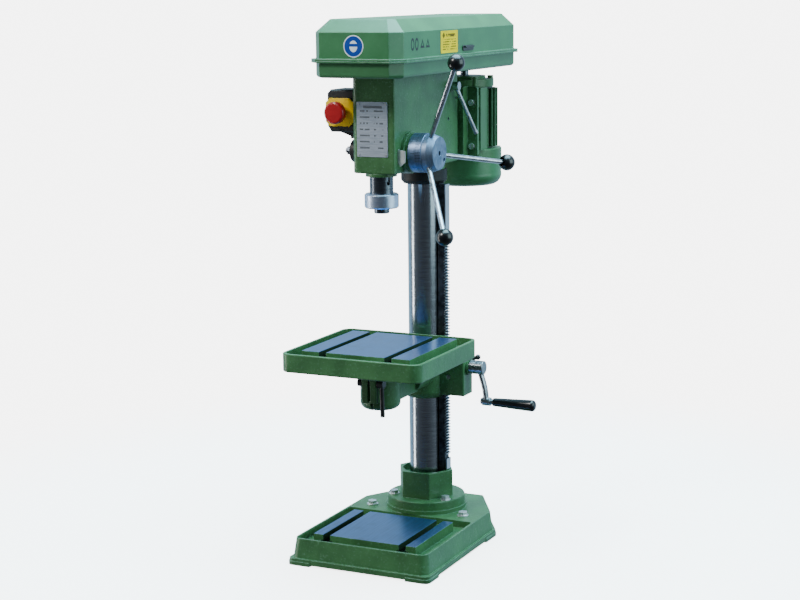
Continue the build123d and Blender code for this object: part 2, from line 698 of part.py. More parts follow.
def make_motor_fan_cover():
    """Bell-shaped sheet cover over the fan, with air slots in its floor."""
    sheet = 2.0
    bottom = 731.5
    top = 791
    wall = MOTOR_Y + 80.5
    inner_wall = wall - sheet
    foot = MOTOR_Y + 63
    inner_foot = foot - 1
    with BuildPart() as bell:
        with BuildSketch(Plane.YZ) as profile:
            with BuildLine():
                Polyline((MOTOR_Y, bottom), (foot, bottom))
                ThreePointArc((foot, bottom), (foot + 13, bottom + 8), (wall, bottom + 26))
                Polyline((wall, bottom + 26), (wall, top), (MOTOR_Y, top), (MOTOR_Y, bottom))
            make_face()
        revolve(axis=Axis((0, MOTOR_Y, 0), (0, 0, 1)))
        with BuildSketch(Plane.YZ) as hollow:
            with BuildLine():
                Polyline((MOTOR_Y, bottom + sheet), (inner_foot, bottom + sheet))
                ThreePointArc((inner_foot, bottom + sheet), (foot + 11.4, bottom + 9.5),
                              (inner_wall, bottom + 27))
                Polyline((inner_wall, bottom + 27), (inner_wall, top + 1), (MOTOR_Y, top + 1),
                         (MOTOR_Y, bottom + sheet))
            make_face()
        revolve(axis=Axis((0, MOTOR_Y, 0), (0, 0, 1)), mode=Mode.SUBTRACT)
        for radius in (20, 32, 44):
            with BuildSketch(Plane.XY.offset(bottom - 1)) as slots:
                with Locations((0, MOTOR_Y)):
                    for start in range(0, 360, 60):
                        with Locations(Location((0, 0, 0), (0, 0, start))):
                            with Locations((radius, 0)):
                                SlotOverall(0.8 * radius, 5, rotation=90)
            extrude(amount=5, mode=Mode.SUBTRACT)
    bell.part.label = "motor_fan_cover"
    export_step(bell.part, "parts/motor_fan_cover.step")


def make_motor_insides():
    with BuildPart() as stator:
        cylinder_z(0, MOTOR_Y, 835, 925, MOTOR_CORE - 5)
        cylinder_z(0, MOTOR_Y, 834, 926, 34, Mode.SUBTRACT)
    stator.part.label = "motor_stator"
    export_step(stator.part, "parts/motor_stator.step")
    with BuildPart() as rotor:
        cylinder_z(0, MOTOR_Y, 835, 925, 33.5)
        cylinder_z(0, MOTOR_Y, 748, PULLEY_BOTTOM + 4 * STEP_HEIGHT, 9)
    rotor.part.label = "motor_rotor"
    export_step(rotor.part, "parts/motor_rotor.step")
    with BuildPart() as fan:
        cylinder_z(0, MOTOR_Y, 768, 786, 16)
        cylinder_z(0, MOTOR_Y, 783, 786, 66)
        for number in range(8):
            with Locations(Location((0, MOTOR_Y, 762), (0, 0, number * 45))):
                with Locations((40, 0, 0)):
                    Box(50, 2.5, 22, align=BOTTOM)
        cylinder_z(0, MOTOR_Y, 760, 790, 9.02, Mode.SUBTRACT)
    fan.part.label = "motor_fan"
    export_step(fan.part, "parts/motor_fan.step")


def make_terminal_box():
    with BuildPart() as box:
        block(-106, -MOTOR_FIN - 1, 185, 245, 860, 930)
        fillet(box.edges().filter_by(Axis.X), radius=5)
        block(-MOTOR_FIN - 2, -MOTOR_CORE - 0.1, 200, 230, 870, 920)
        cylinder_z(-92, MOTOR_Y, 848, 861, 9)
        cylinder_z(-92, MOTOR_Y, 846, 870, 5, Mode.SUBTRACT)
    box.part.label = "terminal_box"
    export_step(box.part, "parts/terminal_box.step")


def make_tension_lever():
    """Shaft across the head and the bent-out rod that pulls the motor back to tension the belts."""
    pivot = Vector(53, LEVER_Y, LEVER_Z)
    tip = Vector(76, 98.5, 856)
    direction = (tip - pivot).normalized()
    with BuildPart() as lever:
        cylinder_x(-18, 60, LEVER_Y, LEVER_Z, 6)
        cylinder_x(HEAD_HALF_WIDTH + 2.4, 62, LEVER_Y, LEVER_Z, 9)
        with BuildSketch(Plane(pivot, z_dir=direction)):
            Circle(4.5)
        extrude(amount=(tip - pivot).length)
        with BuildSketch(Plane(tip - direction * 3, z_dir=direction)):
            Circle(5.2)
        extrude(amount=6)
    lever.part.label = "tension_lever"
    export_step(lever.part, "parts/tension_lever.step")


# ---------------------------------------------------------------- quill, spindle and feed
def make_quill():
    """Quill with its rear rack, bearing seats and side keyway."""
    bearing_bore = 17.0
    tooth_root = 38.0 - PINION_TEETH * MODULE / 2 - 2.4
    with BuildPart() as quill:
        cylinder_z(0, SPINDLE_Y, QUILL_BOTTOM, QUILL_TOP, QUILL_RADIUS)
        # toothed strip along the back: gullets cut between the teeth
        with BuildSketch(Plane.YZ.offset(-12)):
            for number in range(26):
                z = FEED_Z - 8 * PITCH + number * PITCH
                if z < QUILL_TOP - 12:
                    Polygon((SPINDLE_Y + tooth_root, z - 0.9), (SPINDLE_Y + QUILL_RADIUS + 1, z - 2.4),
                            (SPINDLE_Y + QUILL_RADIUS + 1, z + 2.4), (SPINDLE_Y + tooth_root, z + 0.9),
                            align=None)
        extrude(amount=24, mode=Mode.SUBTRACT)
        # keyway with a run-out at its lower end, facing the feed side
        key_angle = math.radians(62)
        with Locations(Location((QUILL_RADIUS * math.sin(key_angle),
                                 SPINDLE_Y - QUILL_RADIUS * math.cos(key_angle), 776),
                                (0, 0, math.degrees(key_angle) - 90))):
            Box(6, 7, 150, align=BOTTOM, mode=Mode.SUBTRACT)
            Cylinder(3.5, 12, rotation=(0, 90, 0), mode=Mode.SUBTRACT)
        cylinder_z(0, SPINDLE_Y, QUILL_BOTTOM - 1, QUILL_BOTTOM + 20, bearing_bore, Mode.SUBTRACT)
        cylinder_z(0, SPINDLE_Y, QUILL_TOP - 16, QUILL_TOP + 1, bearing_bore, Mode.SUBTRACT)
        cylinder_z(0, SPINDLE_Y, QUILL_BOTTOM, QUILL_TOP, 12, Mode.SUBTRACT)
    quill.part.label = "quill"
    export_step(quill.part, "parts/quill.step")


def make_quill_collar():
    with BuildPart() as collar:
        cylinder_z(0, SPINDLE_Y, 726, 755, 34.5)
        chamfer(collar.edges().filter_by(GeomType.CIRCLE), length=2.5)
        cylinder_z(0, SPINDLE_Y, QUILL_BOTTOM, 756, QUILL_RADIUS + 0.02, Mode.SUBTRACT)
        cylinder_z(0, SPINDLE_Y, 725, 731, 18.5, Mode.SUBTRACT)
    collar.part.label = "quill_collar"
    export_step(collar.part, "parts/quill_collar.step")


def make_spindle_bearings():
    with BuildPart() as bearings:
        for z0, z1 in ((731, 749), (940, 954)):
            cylinder_z(0, SPINDLE_Y, z0, z1, 17)
            cylinder_z(0, SPINDLE_Y, z0 - 1, z1 + 1, 10 + FIT, Mode.SUBTRACT)
    bearings.part.label = "spindle_bearings"
    export_step(bearings.part, "parts/spindle_bearings.step")


def make_spindle():
    """Spindle with a Morse taper No. 2 socket in its nose."""
    nose_radius = 15.5
    socket_mouth = 17.78 / 2
    socket_end = 14.9 / 2
    with BuildPart() as spindle:
        cylinder_z(0, SPINDLE_Y, 715, 730.7, nose_radius)
        chamfer(spindle.edges().group_by(Axis.Z)[0], length=1.5)
        cylinder_z(0, SPINDLE_Y, 730, PULLEY_BOTTOM + 4 * STEP_HEIGHT - 2, 10)
        with BuildSketch(Plane.YZ) as socket:
            Polygon((SPINDLE_Y, 714.9), (SPINDLE_Y + socket_mouth, 714.9), (SPINDLE_Y + socket_end, 773),
                    (SPINDLE_Y, 773), align=None)
        revolve(axis=Axis((0, SPINDLE_Y, 0), (0, 0, 1)), mode=Mode.SUBTRACT)
        block(-3.2, 3.2, SPINDLE_Y - 20, SPINDLE_Y + 20, 762, 776, Mode.SUBTRACT)
    spindle.part.label = "spindle"
    export_step(spindle.part, "parts/spindle.step")


def make_pinion_shaft():
    with BuildPart() as shaft:
        cylinder_x(-84, 92, FEED_Y, FEED_Z, 10)
        with BuildSketch(Plane.YZ.offset(-13)) as teeth:
            with Locations((FEED_Y, FEED_Z)):
                Polygon(*gear_points(PINION_TEETH, 15.6, 11.6, 0.30, 0.62, 180), align=None)
        extrude(amount=26)
        cylinder_x(-97, -84, FEED_Y, FEED_Z, 5)
        with BuildSketch(Plane.YZ.offset(-93)) as nut:
            with Locations((FEED_Y, FEED_Z)):
                RegularPolygon(8, 6, major_radius=False)
        extrude(amount=7)
    shaft.part.label = "pinion_shaft"
    export_step(shaft.part, "parts/pinion_shaft.step")


def make_spring_case():
    with BuildPart() as case:
        cylinder_x(-80, HEAD_LEFT - 2.5, FEED_Y, FEED_Z, 24)
        fillet(case.edges().group_by(Axis.X)[0], radius=3)
        cylinder_x(-77, HEAD_LEFT, FEED_Y, FEED_Z, 21.5, Mode.SUBTRACT)
        cylinder_x(-86, HEAD_LEFT, FEED_Y, FEED_Z, 10.3, Mode.SUBTRACT)
    case.part.label = "spring_case"
    export_step(case.part, "parts/spring_case.step")


def make_return_spring():
    """Flat clock spring wound round the feed shaft, drawn as its wound coil."""
    with BuildPart() as spring:
        for radius in (12.5, 15.0, 17.5, 20.0):
            cylinder_x(-75, -57, FEED_Y, FEED_Z, radius)
            cylinder_x(-76, -56, FEED_Y, FEED_Z, radius - 1, Mode.SUBTRACT)
        block(-75, -57, FEED_Y - 20, FEED_Y - 11.6, FEED_Z - 0.6, FEED_Z + 0.6)
    spring.part.label = "return_spring"
    export_step(spring.part, "parts/return_spring.step")


def arm_direction(angle):
    """Root point and direction of one feed lever, at an angle from straight up towards the back."""
    swing = math.radians(angle)
    root = Vector(ARM_ROOT_X, FEED_Y + ARM_ROOT_REACH * math.sin(swing),
                  FEED_Z + ARM_ROOT_REACH * math.cos(swing))
    knob = Vector(ARM_KNOB_X, FEED_Y + ARM_REACH * math.sin(swing), FEED_Z + ARM_REACH * math.cos(swing))
    return root, knob


def arm_angles():
    return [ARM_FIRST_ANGLE + 120 * number for number in range(3)]


def make_feed_hub():
    with BuildPart() as hub:
        cylinder_x(DIAL_RIGHT + GAP, HUB_FACE, FEED_Y, FEED_Z, 38)
        chamfer(hub.edges().group_by(Axis.X)[-1], length=5, length2=14,
                reference=hub.faces().sort_by(Axis.X)[-1])
        cylinder_x(DIAL_RIGHT, 92.05, FEED_Y, FEED_Z, 10.02, Mode.SUBTRACT)
        cylinder_x(92, HUB_FACE + 1, FEED_Y, FEED_Z, 5, Mode.SUBTRACT)
        cylinder_x(HUB_FACE - 12, HUB_FACE + 1, FEED_Y + 22, FEED_Z - 15, 4.5, Mode.SUBTRACT)
        for angle in arm_angles():
            root, knob = arm_direction(angle)
            with BuildSketch(Plane(root, z_dir=knob - root)) as socket:
                Circle(5.02)
            extrude(amount=40, mode=Mode.SUBTRACT)
    hub.part.label = "feed_hub"
    export_step(hub.part, "parts/feed_hub.step")


def make_depth_dial():
    with BuildPart() as dial:
        cylinder_x(DIAL_LEFT, DIAL_RIGHT, FEED_Y, FEED_Z, 39.5)
        chamfer(dial.edges().filter_by(GeomType.CIRCLE), length=1)
        cylinder_x(DIAL_LEFT - 1, DIAL_RIGHT + 1, FEED_Y, FEED_Z, 10 + FIT, Mode.SUBTRACT)
    dial.part.label = "depth_dial"
    export_step(dial.part, "parts/depth_dial.step")


def make_lever_rods():
    with BuildPart() as rods:
        for angle in arm_angles():
            root, knob = arm_direction(angle)
            length = (knob - root).length
            with BuildSketch(Plane(root, z_dir=knob - root)) as section:
                Circle(5)
            extrude(amount=length - 4)
    rods.part.label = "lever_rods"
    export_step(rods.part, "parts/lever_rods.step")


def make_lever_knobs():
    """Ball knobs, each with a short neck that its rod is pushed into."""
    knob_radius = 17.0
    neck_reach = 26.0
    with BuildPart() as knobs:
        for angle in arm_angles():
            root, knob = arm_direction(angle)
            outwards = (knob - root).normalized()
            with Locations(Location(knob)):
                Sphere(knob_radius)
            with BuildSketch(Plane(knob - outwards * neck_reach, z_dir=outwards)) as neck:
                Circle(9.2)
            extrude(neck.sketch, amount=neck_reach - 8)
            with BuildSketch(Plane(knob - outwards * (neck_reach + 1), z_dir=outwards)) as socket:
                Circle(5.02)
            extrude(amount=neck_reach - 2.95, mode=Mode.SUBTRACT)
    knobs.part.label = "lever_knobs"
    export_step(knobs.part, "parts/lever_knobs.step")


# ---------------------------------------------------------------- switch
def make_switch_box():
    with BuildPart() as box:
        with BuildSketch(Plane.XZ.offset(150)):
            Polygon((HEAD_LEFT, 961), (-106, 961), (-114, 953), (-114, 888), (-106, 876), (-92, 876),
                    (HEAD_LEFT, 862), align=None)
        extrude(amount=52)
        cylinder_z(-72, -176, 861, 876, 8)
        cylinder_z(-72, -176, 860, 875, 4.5, Mode.SUBTRACT)
    box.part.label = "switch_box"
    export_step(box.part, "parts/switch_box.step")


def make_switch_cover():
    with BuildPart() as cover:
        with BuildSketch(Plane.XZ.offset(202)):
            Polygon((HEAD_LEFT - 1, 961), (-106, 961), (-114, 953), (-114, 888), (-106, 876),
                    (HEAD_LEFT - 1, 876), align=None)
        extrude(amount=12)
        chamfer(cover.faces().sort_by(Axis.Y)[0].edges(), length=3)
        cylinder_y(-215, -206, -84, 916, 11 + FIT, Mode.SUBTRACT)
    cover.part.label = "switch_cover"
    export_step(cover.part, "parts/switch_cover.step")


def make_switch_plate():
    with BuildPart() as plate:
        with BuildSketch(Plane.XZ.offset(214)) as face:
            with Locations((-84, 916)):
                Rectangle(62, 56)
            chamfer(face.vertices(), length=9)
        extrude(amount=4)
        cylinder_y(-219, -213, -84, 916, 11 + FIT, Mode.SUBTRACT)
    plate.part.label = "switch_plate"
    export_step(plate.part, "parts/switch_plate.step")


def make_stop_button():
    with BuildPart() as button:
        cylinder_y(-246, -232, -84, 916, 22)
        fillet(button.edges().sort_by(Axis.Y)[0], radius=5)
        cylinder_y(-233, -214.3, -84, 916, 11)
    button.part.label = "stop_button"
    export_step(button.part, "parts/stop_button.step")


# ---------------------------------------------------------------- lifting gear and table bracket
def make_rack():
    with BuildPart() as rack:
        with BuildSketch(Plane.XZ.offset(-RACK_HALF_WIDTH)) as bar:
            Polygon(*rack_points(36, RACK_ROOT, RACK_TIP, RACK_BOTTOM, RACK_TOP, RACK_FIRST_TOOTH,
                                 RACK_LAST_TOOTH, GEAR_Z + PITCH / 2), align=None)
        extrude(amount=2 * RACK_HALF_WIDTH)
        # plain ends of the bar, full depth, then tongues held by the ring and the collar
        block(RACK_ROOT - 1, RACK_TIP, -RACK_HALF_WIDTH, RACK_HALF_WIDTH, RACK_BOTTOM, 163)
        block(RACK_ROOT - 1, RACK_TIP, -RACK_HALF_WIDTH, RACK_HALF_WIDTH, 645, RACK_TOP)
        block(36, 46, -RACK_HALF_WIDTH, RACK_HALF_WIDTH, 127, RACK_BOTTOM)
        block(36, 40, -RACK_HALF_WIDTH, RACK_HALF_WIDTH, RACK_TOP, 759)
    rack.part.label = "rack"
    export_step(rack.part, "parts/rack.step")


def make_table_bracket():
    bottom = 298.0
    top = 398.0
    housing_right = 99.4
    with BuildPart() as bracket:
        cylinder_z(0, 0, bottom, top, 50)
        fillet(bracket.edges().group_by(Axis.Z)[0], radius=14)
        # tilt flange on the front
        cylinder_y(-92, -20, 0, TILT_Z, TILT_RADIUS)
        # gear housing on the rack side, and the boss of the crank shaft
        block(30, housing_right, -24, 24, 307.7, top)
        fillet(bracket.edges().filter_by(Axis.Z).filter_by(lambda e: e.center().X > 90), radius=3)
        cylinder_x(housing_right - 1, 104.5, 0, WORM_Z, 18)
        # clamp lugs on the back
        block(-17, 17, 40, 68, 328, 374)
        cylinder_z(0, 0, bottom - 1, top + 10, COLUMN_RADIUS + FIT, Mode.SUBTRACT)
        block(-3, 3, 20, 70, bottom - 1, top + 1, Mode.SUBTRACT)
        cylinder_x(-20, 20, 58, 350, 5 + FIT, Mode.SUBTRACT)
        # tunnel for the rack, chambers for the gear and the worm
        block(30, RACK_TIP + GAP, -RACK_HALF_WIDTH - GAP, RACK_HALF_WIDTH + GAP, bottom - 1, top + 1,
              Mode.SUBTRACT)
        cylinder_y(-8.5, 8.5, GEAR_X, GEAR_Z, 16, Mode.SUBTRACT)
        block(50, GEAR_X, -8.5, 8.5, GEAR_Z - 16, GEAR_Z + 16, Mode.SUBTRACT)
        cylinder_x(RACK_TIP, 84, 0, WORM_Z, 13, Mode.SUBTRACT)
        cylinder_x(84, 106, 0, WORM_Z, 8 + FIT, Mode.SUBTRACT)
        cylinder_y(-30, 30, GEAR_X, GEAR_Z, 5 + FIT, Mode.SUBTRACT)
        cylinder_y(-93, -30, 0, TILT_Z, 8.02, Mode.SUBTRACT)
    bracket.part.label = "table_bracket"
    export_step(bracket.part, "parts/table_bracket.step")


def make_lift_gear():
    with BuildPart() as gear:
        with BuildSketch(Plane.XZ.offset(-7)) as teeth:
            with Locations((GEAR_X, GEAR_Z)):
                Polygon(*gear_points(GEAR_TEETH, 13.4, 9.4, 0.24, 0.58, 0), align=None)
        extrude(amount=14)
        cylinder_y(-23.5, 23.5, GEAR_X, GEAR_Z, 5)
    gear.part.label = "lift_gear"
    export_step(gear.part, "parts/lift_gear.step")


def make_worm_shaft():
    """Crank shaft with a single-start worm; one turn moves the gear by one tooth."""
    thread_radius = 7.9
    thread_throw = 1.5
    turns = 2
    start = Vector(GEAR_X - turns * PITCH / 2, 0, WORM_Z)
    # an off-centre disc turned along the shaft makes the rounded thread; it starts above the axis
    with BuildSketch(Plane(start, x_dir=(0, 1, 0), z_dir=(1, 0, 0))) as lobe:
        with Locations((0, thread_throw)):
            Circle(thread_radius)
    thread = Solid.extrude_linear_with_rotation(
        lobe.sketch.faces()[0], center=start, normal=(turns * PITCH, 0, 0), angle=turns * 360)
    with BuildPart() as shaft:
        cylinder_x(RACK_TIP + 1, 82.5, 0, WORM_Z, 6.6)
        add(thread)
        cylinder_x(82, 122, 0, WORM_Z, 8)
        cylinder_x(82, 83.7, 0, WORM_Z, 11)
    shaft.part.label = "worm_shaft"
    export_step(shaft.part, "parts/worm_shaft.step")


def make_crank_arm():
    """Cast crank: hub, S-shaped arm that leans outwards, and end boss with the grip pin."""
    end_z = WORM_Z - CRANK_THROW
    with BuildPart() as crank:
        cylinder_x(105, 137, 0, WORM_Z, 14.5)
        fillet(crank.edges().filter_by(GeomType.CIRCLE), radius=2)
        with BuildLine() as path:
            Spline((128, 0, WORM_Z - 6), (135, 0, WORM_Z - 32), (141, 0, end_z + 4),
                   tangents=((0.15, 0, -1), (0.05, 0, -1)))
        with BuildSketch(Plane((128, 0, WORM_Z - 6), x_dir=(0, 1, 0), z_dir=(0.15, 0, -1))) as section:
            Ellipse(8.0, 5.5)
        sweep(section.sketch, path=path.wires()[0])
        cylinder_x(134, 151, 0, end_z, 9)
        cylinder_x(151, 156, 0, end_z, 6)
        cylinder_x(156, 248, 0, end_z, 4)
        cylinder_x(130, 134, 0, end_z, 6.5)
        cylinder_x(104, 122.02, 0, WORM_Z, 8.02, Mode.SUBTRACT)
    crank.part.label = "crank_arm"
    export_step(crank.part, "parts/crank_arm.step")


def make_crank_grip():
    axis_z = WORM_Z - CRANK_THROW
    with BuildPart() as grip:
        with BuildSketch(Plane.XZ) as profile:
            with BuildLine():
                Polyline((156.5, axis_z), (156.5, axis_z + 7), (159, axis_z + 8.8),
                         (245, axis_z + 12.3))
                ThreePointArc((245, axis_z + 12.3), (250.5, axis_z + 9.5), (252.5, axis_z + 4))
                Polyline((252.5, axis_z + 4), (252.5, axis_z), (156.5, axis_z))
            make_face()
        revolve(axis=Axis((0, 0, axis_z), (1, 0, 0)))
        cylinder_x(156, 248.5, 0, axis_z, 4 + FIT, Mode.SUBTRACT)
    grip.part.label = "crank_grip"
    export_step(grip.part, "parts/crank_grip.step")


def make_column_clamp_lever():
    pivot = Vector(28, 58, 350)
    tip = Vector(100, 52, 378)
    direction = (tip - pivot).normalized()
    with BuildPart() as lever:
        cylinder_x(-26, 20, 58, 350, 5)
        cylinder_x(-26, -17.4, 58, 350, 9)
        cylinder_x(17.4, 32, 58, 350, 9)
        with BuildSketch(Plane(pivot, z_dir=direction)):
            Circle(4)
        extrude(amount=(tip - pivot).length)
        with Locations(Location(tip)):
            Sphere(6)
    lever.part.label = "column_clamp_lever"
    export_step(lever.part, "parts/column_clamp_lever.step")


def make_table_arm():
    """Arm that tilts on the bracket and carries the split socket of the table."""
    bottom = 318.0
    top = 403.5
    boss_radius = 41.0
    with BuildPart() as arm:
        cylinder_z(0, TABLE_AXIS_Y, bottom, top, boss_radius)
        fillet(arm.edges().group_by(Axis.Z)[0], radius=14)
        block(-25, 25, TABLE_AXIS_Y + 20, -96, 328, 396)
        cylinder_y(-104, -92 - GAP, 0, TILT_Z, TILT_RADIUS)
        # clamp lugs across the slit at the front
        block(-17, 17, -272, -250, 338, 398)
        fillet(arm.edges().filter_by(Axis.Z).filter_by(lambda e: e.center().Y < -271), radius=3)
        cylinder_z(0, TABLE_AXIS_Y, bottom + 8, top + 1, 27 + FIT, Mode.SUBTRACT)
        block(-3, 3, -275, TABLE_AXIS_Y, bottom - 1, top + 1, Mode.SUBTRACT)
        cylinder_x(-20, 20, -264, 378, 5 + FIT, Mode.SUBTRACT)
        # open pocket under the beam, which gives access to the tilt bolt
        block(-17, 17, -172, -104, 320, 382, Mode.SUBTRACT)
        cylinder_y(-105, -90, 0, TILT_Z, 8 + FIT, Mode.SUBTRACT)
    arm.part.label = "table_arm"
    export_step(arm.part, "parts/table_arm.step")


def make_tilt_bolt():
    with BuildPart() as bolt:
        cylinder_y(-122, -40, 0, TILT_Z, 8)
        cylinder_y(-107, -104 - GAP, 0, TILT_Z, 14)
        with BuildSketch(Plane.XZ.offset(107)) as nut:
            with Locations((0, TILT_Z)):
                RegularPolygon(12, 6, major_radius=False)
        extrude(amount=12)
    bolt.part.label = "tilt_bolt"
    export_step(bolt.part, "parts/tilt_bolt.step")


def make_arm_clamp_lever():
    pivot = Vector(25, -264, 378)
    tip = Vector(28, -266, 311)
    direction = (tip - pivot).normalized()
    with BuildPart() as lever:
        cylinder_x(-26, 20, -264, 378, 5)
        cylinder_x(-26, -17.4, -264, 378, 8)
        cylinder_x(17.4, 31, -264, 378, 8.5)
        with BuildSketch(Plane(pivot, z_dir=direction)):
            Circle(4.6)
        extrude(amount=(tip - pivot).length)
    lever.part.label = "arm_clamp_lever"
    export_step(lever.part, "parts/arm_clamp_lever.step")


def make_table():
    rim = 6.0
    block_front = -330.0
    block_rear = -103.0
    middle_y = (TABLE_FRONT + TABLE_REAR) / 2
    width = 2 * TABLE_HALF_WIDTH
    depth = TABLE_REAR - TABLE_FRONT
    with BuildPart() as table:
        with BuildSketch(Plane.XY.offset(TABLE_RIM_BOTTOM)):
            with Locations((0, middle_y)):
                RectangleRounded(width, depth, 22)
        extrude(amount=TABLE_RIM_TOP - TABLE_RIM_BOTTOM)
        fillet(table.edges().group_by(Axis.Z)[-1], radius=1.5)
        fillet(table.edges().group_by(Axis.Z)[0], radius=3)
        # trough with the working block standing in it
        with BuildSketch(Plane.XY.offset(TABLE_FLOOR)):
            with Locations((0, middle_y)):
                RectangleRounded(width - 2 * rim, depth - 2 * rim, 17)
        extrude(amount=40, mode=Mode.SUBTRACT)
        block(-TABLE_BLOCK_HALF_WIDTH, TABLE_BLOCK_HALF_WIDTH, block_front, block_rear,
              TABLE_FLOOR - 1, TABLE_TOP)
        for side in (-1, 1):
            t_slot(side * TABLE_SLOT_X, block_front - 1, block_rear + 1, TABLE_TOP, 20)
        # ribbed underside
        cells_x = (-TABLE_HALF_WIDTH + rim, -52, 52, TABLE_HALF_WIDTH - rim)
        cells_y = (TABLE_FRONT + rim, -270, -166, TABLE_REAR - rim)
        for x0, x1 in zip(cells_x[:-1], cells_x[1:]):
            for y0, y1 in zip(cells_y[:-1], cells_y[1:]):
                block(x0 + 3, x1 - 3, y0 + 3, y1 - 3, TABLE_RIM_BOTTOM - 1, TABLE_FLOOR - 8, Mode.SUBTRACT)
        # turning stub
        cylinder_z(0, TABLE_AXIS_Y, 404, TABLE_FLOOR - 7, 44)
        cylinder_z(0, TABLE_AXIS_Y, 328, 410, 27)
    table.part.label = "table"
    export_step(table.part, "parts/table.step")


# ---------------------------------------------------------------- build everything
make_base_casting()
make_base_bolts()
make_column_flange()
make_flange_bolts()
make_column_tube()
make_rack_ring()
make_head_casting()
make_set_screws()
make_rating_plate()
make_plate_rivets()
make_dial_pointer()
make_pulley_pan()
make_belt_cover()
make_cover_hinge_pins()
make_cover_hinge_leaves()
make_motor_pulley()
make_idler_pulley()
make_spindle_pulley()
make_pulley_bearing()
make_idler_post()
make_belts()
make_motor_plate()
make_slide_rods()
make_motor_bolts()
make_motor_housing()
make_motor_top_shield()
make_motor_lower_shield()
make_motor_fan_cover()
make_motor_insides()
make_terminal_box()
make_tension_lever()
make_quill()
make_quill_collar()
make_spindle_bearings()
make_spindle()
make_pinion_shaft()
make_spring_case()
make_return_spring()
make_feed_hub()
make_depth_dial()
make_lever_rods()
make_lever_knobs()
make_switch_box()
make_switch_cover()
make_switch_plate()
make_stop_button()
make_rack()
make_table_bracket()
make_lift_gear()
make_worm_shaft()
make_crank_arm()
make_crank_grip()
make_column_clamp_lever()
make_table_arm()
make_tilt_bolt()
make_arm_clamp_lever()
make_table()
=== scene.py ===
"""Column drill press: paint, machined finishes, markings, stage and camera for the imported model."""
import math

import bmesh
import bpy
from bpy.props import FloatProperty, FloatVectorProperty, IntProperty, PointerProperty
from mathutils import Matrix, Vector


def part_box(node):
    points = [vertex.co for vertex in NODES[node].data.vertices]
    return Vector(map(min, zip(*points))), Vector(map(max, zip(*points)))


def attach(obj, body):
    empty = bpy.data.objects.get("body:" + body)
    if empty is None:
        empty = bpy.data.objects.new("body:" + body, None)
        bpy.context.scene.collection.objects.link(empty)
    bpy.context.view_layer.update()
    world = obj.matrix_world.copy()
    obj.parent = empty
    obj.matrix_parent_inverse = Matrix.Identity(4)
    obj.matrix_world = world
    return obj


bl_info = {
    "name": "Column Drill Press Finisher",
    "version": (1, 0, 0),
    "blender": (4, 5, 0),
    "location": "3D View > Sidebar > Drill Press",
    "description": "Gives the drill press its paint, machined faces, markings and studio",
    "category": "Object",
}

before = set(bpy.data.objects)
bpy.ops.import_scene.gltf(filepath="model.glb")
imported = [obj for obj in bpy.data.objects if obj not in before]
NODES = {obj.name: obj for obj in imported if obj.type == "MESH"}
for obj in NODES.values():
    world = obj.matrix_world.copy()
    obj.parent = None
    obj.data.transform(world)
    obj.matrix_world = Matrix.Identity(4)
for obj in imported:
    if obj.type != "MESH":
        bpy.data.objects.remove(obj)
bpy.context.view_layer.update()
WHITE = (1.0, 1.0, 1.0, 1.0)

# Machined blocks let into the castings, in metres: half width, front, rear, and the level just
# under the ground face, below which the casting is painted.
TABLE_BLOCK = (0.1194, -0.3299, -0.1031, 0.4472)
BASE_BLOCK = (0.1153, -0.3019, -0.1181, 0.0598)
# How far below the ground face the T-slot grooves are darkened as painted shade.
SLOT_DEPTH = 0.0225

# Belt guard, in metres: its flat right side, the lip round its seam, and where its markings sit.
# Pairs on the side are a place along it and a height.
GUARD_SIDE = 0.0953
GUARD_LIP = 0.008
SIGN_HEIGHT = 1.0506
STICKER_SIZE = (0.084, 0.0445)
STICKER_MIDDLE = (-0.079, 1.0522)
STICKER_CORNER = (-0.121, 1.030)
MARK_HEIGHT = 1.0525
TRIANGLE_PLACES = (-0.207, -0.182)
RING_PLACES = (-0.252, -0.233)

# How far a foil is sunk into the face below it, as a share of its thickness.
FOIL_BED = 0.2


def srgb(red, green, blue):
    """A colour given as 0 to 255 display values, in scene-linear light."""
    channels = []
    for value in (red, green, blue):
        share = value / 255.0
        if share <= 0.04045:
            channels.append(share / 12.92)
        else:
            channels.append(((share + 0.055) / 1.055) ** 2.4)
    return tuple(channels)


def rgba(colour):
    """The colour with full opacity, as shader sockets take it."""
    return (colour[0], colour[1], colour[2], 1.0)


def dimmed(colour, share):
    """The colour with each channel multiplied by share, and no channel over 1."""
    return [min(1.0, channel * share) for channel in colour]


# ---------------------------------------------------------------- shader writing

class Value:
    """One output of a shader node. Arithmetic on it adds Math nodes to the same tree."""

    def __init__(self, writer, socket):
        self.writer = writer
        self.socket = socket

    def math(self, operation, *others):
        terms = {index: term for index, term in enumerate((self,) + others)}
        return self.writer.node("ShaderNodeMath", {"operation": operation}, terms)

    def swapped(self, operation, other):
        return self.writer.node("ShaderNodeMath", {"operation": operation}, {0: other, 1: self})

    def __add__(self, other):
        return self.math("ADD", other)

    __radd__ = __add__

    def __sub__(self, other):
        return self.math("SUBTRACT", other)

    def __rsub__(self, other):
        return self.swapped("SUBTRACT", other)

    def __mul__(self, other):
        return self.math("MULTIPLY", other)

    __rmul__ = __mul__

    def __truediv__(self, other):
        return self.math("DIVIDE", other)

    def __gt__(self, other):
        return self.math("GREATER_THAN", other)

    def __lt__(self, other):
        return self.math("LESS_THAN", other)

    def __abs__(self):
        return self.math("ABSOLUTE")

    def floor(self):
        return self.math("FLOOR")

    def fraction(self):
        return self.math("FRACT")

    def larger(self, other):
        return self.math("MAXIMUM", other)

    def between(self, low, high):
        """1 where the value lies between the two limits, else 0."""
        return (self > low) * (self < high)

    def smooth(self, low, high, start=0.0, end=1.0):
        """Eases from start to end while the value goes from low to high."""
        settings = {"interpolation_type": "SMOOTHSTEP"}
        inputs = {0: self, 1: low, 2: high, 3: start, 4: end}
        return self.writer.node("ShaderNodeMapRange", settings, inputs)


